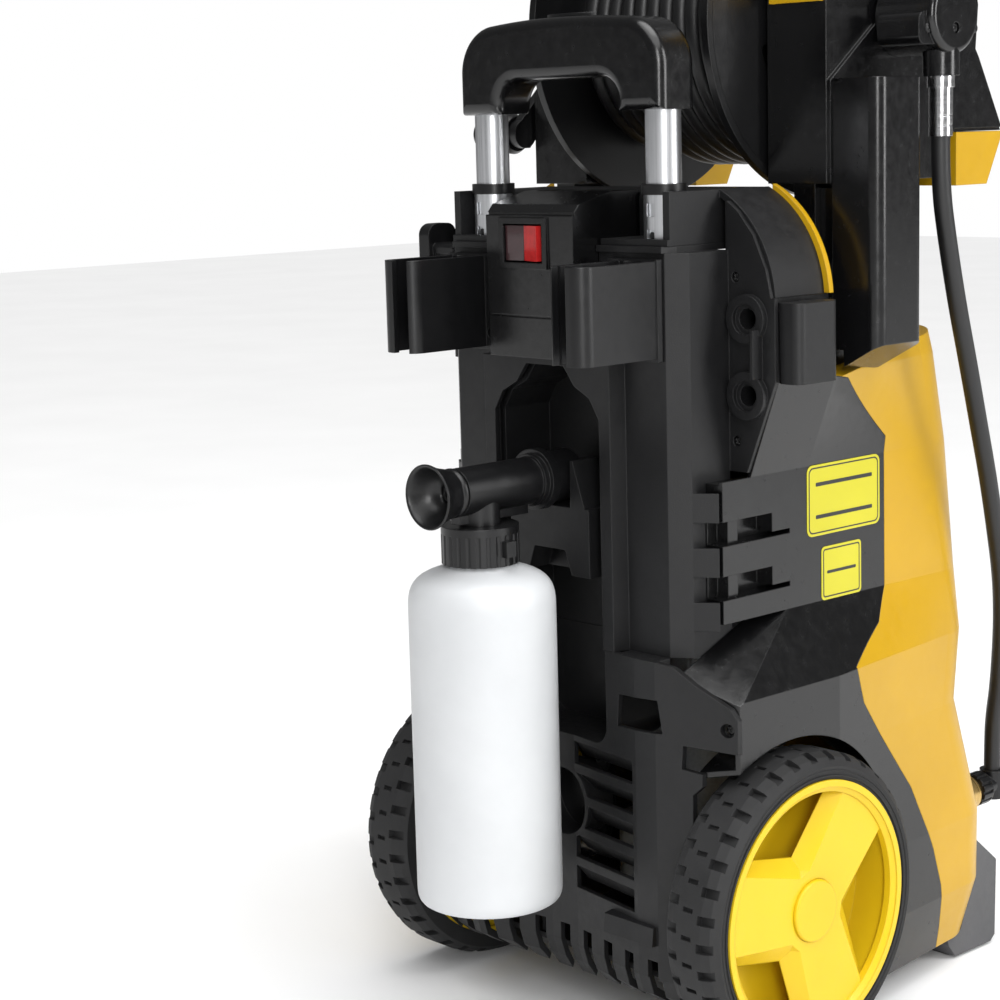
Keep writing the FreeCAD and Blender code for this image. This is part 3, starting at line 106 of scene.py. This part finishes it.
# ---------------------------------------------------------------- materials
DRIFT_SCALE = 9  # colour drift over a moulding, in noise cells per metre
SCUFF_SCALE = 130  # patches of uneven gloss
BLOOM_SCALE = 34  # dusty bloom on rubber
MOULD_RELIEF, FINE_RELIEF = 0.0003, 0.0002  # depth of a surface's grain, in metres
BEVEL_SAMPLES = 4


def shader(name):
    """New material with its tree, its shader and its texture coordinates."""
    mat = bpy.data.materials.new(name)
    mat.use_nodes = True
    tree = mat.node_tree
    bsdf = next(n for n in tree.nodes if n.type == "BSDF_PRINCIPLED")
    where = tree.nodes.new("ShaderNodeTexCoord")
    return mat, tree, bsdf, where


def noise(tree, vector, scale, detail=3.0, rough=0.55):
    """Cloudy pattern of scale cells per metre."""
    node = tree.nodes.new("ShaderNodeTexNoise")
    node.inputs["Scale"].default_value = scale
    node.inputs["Detail"].default_value = detail
    node.inputs["Roughness"].default_value = rough
    tree.links.new(vector, node.inputs["Vector"])
    return node.outputs["Fac"]


def ramp(tree, value, low, high, first, last):
    """value between low and high becomes a number or colour between first and last."""
    node = tree.nodes.new("ShaderNodeMapRange")
    node.inputs["From Min"].default_value = low
    node.inputs["From Max"].default_value = high
    tree.links.new(value, node.inputs["Value"])
    if isinstance(first, tuple):
        mix = tree.nodes.new("ShaderNodeMix")
        mix.data_type = "RGBA"
        tree.links.new(node.outputs["Result"], mix.inputs["Factor"])
        mix.inputs["A"].default_value = (*first, 1)
        mix.inputs["B"].default_value = (*last, 1)
        return mix.outputs["Result"]
    node.inputs["To Min"].default_value = first
    node.inputs["To Max"].default_value = last
    return node.outputs["Result"]


def finish_surface(tree, bsdf, height, strength, depth, edge):
    """Rounds the look of edges by edge metres and adds height as fine relief."""
    bevel = tree.nodes.new("ShaderNodeBevel")
    bevel.samples = BEVEL_SAMPLES
    bevel.inputs["Radius"].default_value = edge
    bump = tree.nodes.new("ShaderNodeBump")
    bump.inputs["Strength"].default_value = strength
    bump.inputs["Distance"].default_value = depth
    tree.links.new(height, bump.inputs["Height"])
    tree.links.new(bevel.outputs["Normal"], bump.inputs["Normal"])
    tree.links.new(bump.outputs["Normal"], bsdf.inputs["Normal"])


def plastic(name, dark, light, rough_low, rough_high, grain, strength, edge=0.0009, shine=0.5):
    """Moulded plastic: broad colour drift, uneven gloss with faint scuffs, and an eroded grain."""
    mat, tree, bsdf, where = shader(name)
    bsdf.inputs["Specular IOR Level"].default_value = shine
    place = where.outputs["Object"]
    drift = noise(tree, place, DRIFT_SCALE, 4)
    tree.links.new(ramp(tree, drift, 0.3, 0.7, dark, light), bsdf.inputs["Base Color"])
    scuffs = noise(tree, place, SCUFF_SCALE, 6, 0.7)
    tree.links.new(ramp(tree, scuffs, 0.35, 0.72, rough_low, rough_high), bsdf.inputs["Roughness"])
    finish_surface(tree, bsdf, noise(tree, place, grain, 2), strength, MOULD_RELIEF, edge)
    return mat


def metal(name, dark, light, rough_low, rough_high, stretch, edge=0.0004):
    """Metal brushed or turned: fine lines drawn out by stretch along each axis."""
    mat, tree, bsdf, where = shader(name)
    bsdf.inputs["Metallic"].default_value = 1.0
    mapping = tree.nodes.new("ShaderNodeMapping")
    mapping.inputs["Scale"].default_value = stretch
    tree.links.new(where.outputs["Object"], mapping.inputs["Vector"])
    lines = noise(tree, mapping.outputs["Vector"], 1.0, 4, 0.6)
    tree.links.new(ramp(tree, lines, 0.3, 0.7, dark, light), bsdf.inputs["Base Color"])
    tree.links.new(ramp(tree, lines, 0.25, 0.75, rough_low, rough_high), bsdf.inputs["Roughness"])
    finish_surface(tree, bsdf, lines, 0.12, FINE_RELIEF, edge)
    return mat


def rubber(name, dark, light, grain, rough_low=0.6, rough_high=0.85):
    """Rubber with a dusty bloom and a pitted surface."""
    mat, tree, bsdf, where = shader(name)
    place = where.outputs["Object"]
    bloom = noise(tree, place, BLOOM_SCALE, 7, 0.65)
    tree.links.new(ramp(tree, bloom, 0.35, 0.75, dark, light), bsdf.inputs["Base Color"])
    tree.links.new(ramp(tree, bloom, 0.3, 0.7, rough_low, rough_high), bsdf.inputs["Roughness"])
    pits = tree.nodes.new("ShaderNodeTexVoronoi")
    pits.inputs["Scale"].default_value = grain
    tree.links.new(place, pits.inputs["Vector"])
    finish_surface(tree, bsdf, pits.outputs["Distance"], 0.2, FINE_RELIEF, 0.0008)
    return mat


def bottle_material():
    """Milky plastic that lets a little light in, with a cloudy tone."""
    mat, tree, bsdf, where = shader("bottle_plastic")
    place = where.outputs["Object"]
    cloud = noise(tree, place, 14, 4)
    tree.links.new(ramp(tree, cloud, 0.3, 0.7, (0.52, 0.532, 0.545), (0.57, 0.582, 0.595)),
                   bsdf.inputs["Base Color"])
    tree.links.new(ramp(tree, noise(tree, place, 70, 5), 0.3, 0.7, 0.34, 0.46), bsdf.inputs["Roughness"])
    bsdf.inputs["Subsurface Weight"].default_value = 0.35
    bsdf.inputs["Subsurface Radius"].default_value = (0.006, 0.006, 0.006)
    bsdf.inputs["Subsurface Scale"].default_value = 1.0
    finish_surface(tree, bsdf, noise(tree, place, 420, 3), 0.08, MOULD_RELIEF, 0.0006)
    return mat


def rocker_material():
    """Red see-through half, and a near-black half that is painted shade on the rocker's pressed-in side,
    divided at the rocker's axis.
    """
    mat, tree, bsdf, where = shader("rocker_lens")
    place = where.outputs["Object"]
    split = tree.nodes.new("ShaderNodeSeparateXYZ")
    tree.links.new(place, split.inputs["Vector"])
    # the second colour is painted shade: the pressed-in half of the red rocker is drawn near-black
    red, pressed_half_shade = (0.48, 0.018, 0.018), (0.035, 0.012, 0.014)
    half = ramp(tree, split.outputs["X"], 0.0040, 0.0050, red, pressed_half_shade)
    grain = ramp(tree, noise(tree, place, 260, 3), 0.3, 0.7, (0.75, 0.75, 0.75), (1.0, 1.0, 1.0))
    shade = tree.nodes.new("ShaderNodeMix")
    shade.data_type = "RGBA"
    shade.blend_type = "MULTIPLY"
    shade.inputs["Factor"].default_value = 1.0
    tree.links.new(half, shade.inputs["A"])
    tree.links.new(grain, shade.inputs["B"])
    tree.links.new(shade.outputs["Result"], bsdf.inputs["Base Color"])
    tree.links.new(ramp(tree, noise(tree, place, 90, 4), 0.3, 0.7, 0.12, 0.24), bsdf.inputs["Roughness"])
    bsdf.inputs["Coat Weight"].default_value = 0.6
    finish_surface(tree, bsdf, noise(tree, place, 500, 2), 0.05, FINE_RELIEF, 0.0006)
    return mat


MATERIALS = {
    "black_matte": plastic("black_matte", (0.0045, 0.0045, 0.005), (0.0085, 0.0085, 0.009), 0.40, 0.55,
                           1500, 0.3, shine=0.36),
    "black_gloss": plastic("black_gloss", (0.0022, 0.0022, 0.0024), (0.004, 0.004, 0.0043), 0.17, 0.30,
                           380, 0.06, shine=0.5),
    "black_trim": plastic("black_trim", (0.003, 0.003, 0.0033), (0.0055, 0.0055, 0.006), 0.28, 0.40,
                          900, 0.15, shine=0.4),
    "yellow_body": plastic("yellow_body", (0.43, 0.245, 0.004), (0.50, 0.29, 0.006), 0.30, 0.42, 700, 0.12,
                           shine=0.4),
    "yellow_wheel": plastic("yellow_wheel", (0.60, 0.41, 0.006), (0.67, 0.46, 0.009), 0.32, 0.46, 700, 0.12,
                            shine=0.4),
    "grey_foot": plastic("grey_foot", (0.055, 0.055, 0.058), (0.085, 0.085, 0.09), 0.45, 0.6, 1200, 0.25,
                         shine=0.4),
    "tyre_rubber": rubber("tyre_rubber", (0.006, 0.006, 0.0065), (0.013, 0.013, 0.0135), 900),
    "soft_rubber": rubber("soft_rubber", (0.013, 0.013, 0.013), (0.02, 0.02, 0.02), 700),
    "hose": rubber("hose", (0.0045, 0.0045, 0.005), (0.009, 0.009, 0.0095), 1300, 0.38, 0.52),
    "aluminium_tube": metal("aluminium_tube", (0.60, 0.61, 0.63), (0.74, 0.75, 0.77), 0.26, 0.38,
                            (900, 900, 9)),
    "bottle_plastic": bottle_material(),
    "red_lens": rocker_material(),
    "chrome_metal": metal("chrome_metal", (0.66, 0.66, 0.67), (0.78, 0.78, 0.79), 0.14, 0.26, (60, 60, 700)),
    "brass_metal": metal("brass_metal", (0.52, 0.35, 0.12), (0.66, 0.46, 0.18), 0.22, 0.36, (60, 700, 60)),
    "steel": metal("steel", (0.30, 0.30, 0.31), (0.42, 0.42, 0.43), 0.28, 0.42, (200, 200, 200)),
    "cast_aluminium": metal("cast_aluminium", (0.34, 0.35, 0.36), (0.46, 0.47, 0.48), 0.45, 0.62,
                            (420, 420, 420)),
}
label_yellow = plastic("label_yellow", (0.46, 0.42, 0.008), (0.52, 0.475, 0.012), 0.28, 0.38, 600, 0.05,
                       edge=0.0002)
label_ink = plastic("label_ink", (0.010, 0.010, 0.010), (0.016, 0.016, 0.016), 0.30, 0.42, 600, 0.05,
                    edge=0.0001)

for part in frame["record"]["subparts"]:
    if part["node"] in nodes and part.get("material_slot") in MATERIALS:
        mesh = nodes[part["node"]].data
        mesh.materials.clear()
        mesh.materials.append(MATERIALS[part["material_slot"]])

# ---------------------------------------------------------------- cords
LINK_D = 0.012
LINK_ROUTE = [(-165, -121, 576), (-165, -121, 546), (-163.5, -131, 509), (-160, -146.5, 468),
              (-157, -163, 428), (-153, -180, 388), (-149, -197, 349), (-143, -214, 312),
              (-136, -231, 277), (-127, -246, 244), (-117, -259, 213), (-107, -270.5, 182),
              (-98, -278.5, 157), (-95.5, -281, 136), (-95.5, -281, 118)]


def cord_curve(name, points, diameter, body):
    """Round hose along points, riding on body."""
    data = bpy.data.curves.new(name, "CURVE")
    data.dimensions = "3D"
    data.bevel_depth = diameter / 2
    data.bevel_resolution = 6
    data.resolution_u = 10
    data.use_fill_caps = True
    spline = data.splines.new("NURBS")
    spline.points.add(len(points) - 1)
    for control, point in zip(spline.points, points):
        control.co = (*point, 1)
    spline.order_u = 3
    spline.use_endpoint_u = True
    return link(name, data, body, MATERIALS["hose"])


link_points = [at(*p) for p in LINK_ROUTE]
link_tube = cord_curve("link_hose_tube", link_points, LINK_D, "machine")
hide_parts("link_hose")

HOSE_D = 0.011
REEL_Y, REEL_Z = -112.0, 650.0
TURN_POINTS = 16
PITCH_MM = 11.1
LOW_LAYER_R, HIGH_LAYER_R = 73.75, 84.7
LAYER_END_X = 65.4
HIGH_END_X = 14.0
CLIMB_MM = 2.2  # rise per point where the hose climbs onto the first layer
FREE_END_ANGLE = math.radians(60)
CONNECTOR_X = 32.0
CONNECTOR_Z = 737.4
CONNECTOR_REAR_Y = -98.0


def winding_points():
    """Two layers on the drum: out from its left end to the right, back over the top, then the free end."""
    step = math.radians(360 / TURN_POINTS)
    spread = 1 / math.cos(step / 2)
    low_steps = int(2 * LAYER_END_X / PITCH_MM * TURN_POINTS)
    high_steps = int((HIGH_END_X + LAYER_END_X) / PITCH_MM * TURN_POINTS)
    start = FREE_END_ANGLE - (low_steps + high_steps) * step
    found = []
    for i in range(low_steps + high_steps + 1):
        angle = start + i * step
        if i <= low_steps:
            x = LAYER_END_X - 2 * LAYER_END_X * i / low_steps
            radius = LOW_LAYER_R
        else:
            x = -LAYER_END_X + (HIGH_END_X + LAYER_END_X) * (i - low_steps) / high_steps
            radius = min(HIGH_LAYER_R, LOW_LAYER_R + (i - low_steps) * CLIMB_MM)
        radius = radius * spread
        found.append(at(x, REEL_Y + radius * math.cos(angle), REEL_Z + radius * math.sin(angle)))
    return found


hose_points = winding_points() + [at(CONNECTOR_X - 3, -80, 735), at(CONNECTOR_X, -90, CONNECTOR_Z),
                                  at(CONNECTOR_X, CONNECTOR_REAR_Y, CONNECTOR_Z)]
wound_hose = cord_curve("wound_hose", hose_points, HOSE_D, "reel")
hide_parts("hose_winding")


# ---------------------------------------------------------------- turned pieces
def turned(name, profile, centre, axis, body, mat, sides=96, smooth=1):
    """Closed outline of (radius, height) mm turned about an axis through centre."""
    axis = Vector(axis).normalized()
    out = axis.orthogonal().normalized()
    side = axis.cross(out)
    bm = bmesh.new()
    rings = []
    for radius, height in profile:
        ring = []
        for i in range(sides if radius > 1e-6 else 1):
            angle = 2 * math.pi * i / sides
            spoke = out * math.cos(angle) + side * math.sin(angle)
            ring.append(bm.verts.new(centre + (axis * height + spoke * radius) / 1000))
        rings.append(ring)
    closed = profile[0][0] > 1e-6
    pairs = list(zip(rings, rings[1:])) + ([(rings[-1], rings[0])] if closed else [])
    for first, second in pairs:
        for i in range(sides):
            j = (i + 1) % sides
            corners = [first[i % len(first)], first[j % len(first)], second[j % len(second)],
                       second[i % len(second)]]
            distinct = list(dict.fromkeys(corners))
            if len(distinct) > 2:
                bm.faces.new(distinct)
    bmesh.ops.recalc_face_normals(bm, faces=bm.faces)
    for face in bm.faces:
        face.smooth = True
    mesh = bpy.data.meshes.new(name)
    bm.to_mesh(mesh)
    bm.free()
    obj = link(name, mesh, body, mat)
    if smooth:
        rounding = obj.modifiers.new("rounding", "SUBSURF")
        rounding.levels = rounding.render_levels = smooth
    return obj


bottle_low, bottle_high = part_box("foam_bottle")
BOTTLE_AXIS = Vector(((bottle_low.x + bottle_high.x) / 2, (bottle_low.y + bottle_high.y) / 2, 0))
BOTTLE_OUT = [(0, 105.5), (30, 105), (37, 103.4), (41.5, 103.1), (44.6, 104.4), (46.2, 107.5), (46.5, 112),
              (46.5, 113), (46.5, 180), (46.5, 240), (46.5, 294), (46.4, 299), (45.6, 304.5), (43.4, 309.4),
              (39, 313.8), (32, 317), (25, 319), (21.6, 320.6), (20.6, 323), (20.5, 325), (20.5, 340.4),
              (20.2, 341)]
BOTTLE_IN = [(18.8, 341), (18.5, 340.4), (18.5, 322), (20, 319.2), (24, 317.4), (31.4, 315.4), (38, 312.2),
             (42, 308.2), (44, 303.6), (44.8, 298), (44.9, 240), (44.9, 112), (43, 107), (36, 106.6),
             (0, 107)]
bottle = turned("bottle_shell", BOTTLE_OUT + BOTTLE_IN, BOTTLE_AXIS, (0, 0, 1), "bottle",
                MATERIALS["bottle_plastic"])
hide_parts("foam_bottle")

nozzle_low, nozzle_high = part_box("foam_nozzle")
NOZZLE_AT = Vector(((nozzle_low.x + nozzle_high.x) / 2, AXLE_Y, (nozzle_low.z + nozzle_high.z) / 2))
NOZZLE_PROFILE = [(5, 148.5), (15, 148.5), (15.5, 149), (15.5, 151.5), (14.6, 152.4), (14.6, 153.4),
                  (15.6, 154.2), (16.4, 159), (17.6, 163.4), (19.4, 167.6), (20.4, 169.2), (20.4, 170.2),
                  (19.8, 170.5), (18.6, 170.3), (17, 167), (15, 163), (12.4, 158.4), (9, 155.2), (5, 154)]
nozzle = turned("nozzle_trumpet", NOZZLE_PROFILE, NOZZLE_AT, (0, 1, 0), "nozzle",
                MATERIALS["black_trim"])
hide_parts("foam_nozzle")

WHEEL_R = 100
for side, body in ((-1, "wheel_right"), (1, "wheel_left")):
    for radius, label in ((89.5, "outer"), (86.2, "inner")):
        bead = [(radius - 0.9, 163.2), (radius - 0.5, 164.4), (radius, 164.9), (radius + 0.5, 164.4),
                (radius + 0.9, 163.2)]
        turned(f"sidewall_bead_{label}_{body[6:]}", bead, at(0, 0, WHEEL_R), (side, 0, 0), body,
               MATERIALS["tyre_rubber"], 128, 1)


# ---------------------------------------------------------------- screws
SCREW_R = 3.05
DOME_MM, CROSS_DEPTH = 0.7, 1.1
CROSS_ARM, CROSS_HALF_WIDTH = 1.9, 0.42
RIM_DEPTH = 0.0022


def screw_heads(name, places, body):
    """Domed heads with a cross recess.

    places are (centre of the head's rim, outward direction, radius in mm).
    """
    bm = bmesh.new()
    rings, around = 22, 64
    for centre, outward, radius in places:
        axis = Vector(outward).normalized()
        u = axis.orthogonal().normalized()
        v = axis.cross(u)
        grid = []
        for k in range(rings + 1):
            r = radius * k / rings
            row = []
            for i in range(around if k else 1):
                angle = 2 * math.pi * i / around
                a, b = r * math.cos(angle), r * math.sin(angle)
                height = DOME_MM * (1 - (r / radius) ** 2)
                arm = min(max(abs(a) - CROSS_ARM, abs(b) - CROSS_HALF_WIDTH),
                          max(abs(b) - CROSS_ARM, abs(a) - CROSS_HALF_WIDTH))
                height -= CROSS_DEPTH * min(1, max(0, 0.5 - arm / 0.25))
                row.append(bm.verts.new(centre + (u * a + v * b + axis * height) / 1000))
            grid.append(row)
        grid.append([bm.verts.new(vert.co - axis * RIM_DEPTH) for vert in grid[-1]])
        for first, second in zip(grid, grid[1:]):
            for i in range(around):
                j = (i + 1) % around
                corners = [first[i % len(first)], second[i], second[j], first[j % len(first)]]
                bm.faces.new(list(dict.fromkeys(corners)))
        bm.faces.new(list(reversed(grid[-1])))
    bmesh.ops.recalc_face_normals(bm, faces=bm.faces)
    mesh = bpy.data.meshes.new(name)
    bm.to_mesh(mesh)
    bm.free()
    for poly in mesh.polygons:
        poly.use_smooth = True
    return link(name, mesh, body, MATERIALS["black_trim"])


screw_places = []
for x, y, z in ((112, 13.0, 495), (112, 13.0, 394), (140, 54.5, 223.6), (57, 62.5, 457)):
    for side in (-1, 1):
        screw_places.append((at(side * x, y - 1.4, z), (0, 1, 0), SCREW_R))
for x, dy in ((-172, -24.5), (-174.5, 0), (-172, 22.5)):
    screw_places.append((at(x - 0.6, -121 + dy, 642), (-1, 0, 0), SCREW_R))
heads = screw_heads("screw_heads", screw_places, "machine")
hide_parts("screws")

# ---------------------------------------------------------------- labels
cover = nodes["side_cover_right"].data
cover_tree = BVHTree.FromPolygons([v.co.copy() for v in cover.vertices],
                                  [tuple(p.vertices) for p in cover.polygons])
LABEL_LIFT, INK_LIFT = 0.35, 0.42  # outer faces, in mm outside the cover's wall
LABEL_THICK = 0.3


def rounded_outline(y0, y1, z0, z1, radius, steps=8):
    """Corner arcs of a rectangle, in order, as (y, z) points."""
    found = []
    for cy, cz, start in ((y1 - radius, z1 - radius, 0), (y0 + radius, z1 - radius, 90),
                          (y0 + radius, z0 + radius, 180), (y1 - radius, z0 + radius, 270)):
        for i in range(steps + 1):
            angle = math.radians(start + 90 * i / steps)
            found.append((cy + radius * math.cos(angle), cz + radius * math.sin(angle)))
    return found


def on_cover(y, z, lift):
    """Point lift mm outside the right cover's wall."""
    start = at(-200, y, z)
    hit = cover_tree.ray_cast(start, Vector((1, 0, 0)))[0]
    return Vector((hit.x - lift / 1000, start.y, start.z))


def sticker(name, outline, mat, lift, hole=None):
    """Thin plate that follows the cover's wall, or a frame where hole is an inner outline."""
    bm = bmesh.new()
    cy = sum(y for y, _ in outline) / len(outline)
    cz = sum(z for _, z in outline) / len(outline)
    loops = [(outline, lift - LABEL_THICK), (outline, lift)]
    if hole:
        loops += [(hole, lift), (hole, lift - LABEL_THICK)]
    else:
        for share in (0.75, 0.5, 0.25):
            loops.append(([(cy + (y - cy) * share, cz + (z - cz) * share) for y, z in outline], lift))
    rings = [[bm.verts.new(on_cover(y, z, height)) for y, z in loop] for loop, height in loops]
    for first, second in zip(rings, rings[1:]):
        for i in range(len(first)):
            j = (i + 1) % len(first)
            bm.faces.new((first[i], first[j], second[j], second[i]))
    if not hole:
        bm.faces.new(rings[-1])
    bmesh.ops.recalc_face_normals(bm, faces=bm.faces)
    mesh = bpy.data.meshes.new(name)
    bm.to_mesh(mesh)
    bm.free()
    return link(name, mesh, "machine", mat)


def panel(name, y0, y1, z0, z1, radius, bars):
    """Plain label with a printed frame and plain bars."""
    sticker(name, rounded_outline(y0, y1, z0, z1, radius), label_yellow, LABEL_LIFT)
    outer = rounded_outline(y0 + 1.6, y1 - 1.6, z0 + 1.6, z1 - 1.6, radius - 1)
    inner = rounded_outline(y0 + 2.5, y1 - 2.5, z0 + 2.5, z1 - 2.5, radius - 1.6)
    sticker(name + "_frame", outer, label_ink, INK_LIFT, inner)
    for i, (ya, yb, za, zb) in enumerate(bars):
        sticker(f"{name}_bar_{i}", rounded_outline(ya, yb, za, zb, 0.6, 3), label_ink, INK_LIFT)


panel("label_upper", -117, -43.5, 326, 372, 5, [(-109, -52, 358, 360.5), (-109, -52, 337, 339.5)])
panel("label_lower", -97.5, -57.5, 283, 318, 3, [(-92, -63, 300, 302)])

# ---------------------------------------------------------------- floor and light
FLOOR_HALF = 8
FLOOR_Z = -0.0003
ROOM_LIGHT, SEEN_LIGHT = 0.16, 1.0  # the studio's fill, and the white backdrop behind it

floor_mesh = bpy.data.meshes.new("floor")
floor_mesh.from_pydata([(x * FLOOR_HALF, y * FLOOR_HALF, 0) for x, y in ((-1, -1), (1, -1), (1, 1), (-1, 1))],
                       [], [(0, 1, 2, 3)])
floor = bpy.data.objects.new("floor", floor_mesh)
bpy.context.scene.collection.objects.link(floor)
floor.location.z = FLOOR_Z
floor_mat, floor_tree, floor_bsdf, floor_where = shader("floor")
floor_tone = ramp(floor_tree, noise(floor_tree, floor_where.outputs["Object"], 3), 0.3, 0.7,
                  (0.90, 0.90, 0.90), (0.93, 0.93, 0.93))
floor_tree.links.new(floor_tone, floor_bsdf.inputs["Base Color"])
floor_bsdf.inputs["Roughness"].default_value = 0.7
floor_mesh.materials.append(floor_mat)

world = bpy.data.worlds.new("studio")
bpy.context.scene.world = world
world.use_nodes = True
sky = world.node_tree.nodes["Background"]
sky.inputs["Color"].default_value = (1.0, 1.0, 1.0, 1)
room_light = world.node_tree.nodes.new("ShaderNodeMapRange")
room_light.inputs["To Min"].default_value = ROOM_LIGHT
room_light.inputs["To Max"].default_value = SEEN_LIGHT
seen = world.node_tree.nodes.new("ShaderNodeLightPath")
world.node_tree.links.new(seen.outputs["Is Camera Ray"], room_light.inputs["Value"])
world.node_tree.links.new(room_light.outputs["Result"], sky.inputs["Strength"])
bpy.context.scene.view_settings.view_transform = "Standard"

CENTRE = at(0, -40, 400)


def softbox(name, place, size, power):
    """Rectangular lamp of size metres and power watts, aimed at the middle of the machine."""
    data = bpy.data.lights.new(name, "AREA")
    data.shape = "RECTANGLE"
    data.size, data.size_y = size
    data.energy = power
    lamp = bpy.data.objects.new(name, data)
    bpy.context.scene.collection.objects.link(lamp)
    lamp.location = place
    lamp.rotation_euler = (Vector(place) - CENTRE).to_track_quat("Z", "Y").to_euler()


softbox("top", (-0.4, 0.1, 2.8), (1.5, 1.5), 18)
softbox("front_right", (-2.4, -1.1, 1.2), (0.8, 1.7), 34)
softbox("behind", (-2.3, 1.9, 1.3), (0.7, 1.5), 44)
overhead = bpy.data.lights.new("overhead", "SUN")
overhead.energy = 2.9
overhead.angle = math.radians(70)
ceiling = bpy.data.objects.new("overhead", overhead)
bpy.context.scene.collection.objects.link(ceiling)
ceiling.rotation_euler = Vector((-0.35, 0.2, 1)).to_track_quat("Z", "Y").to_euler()
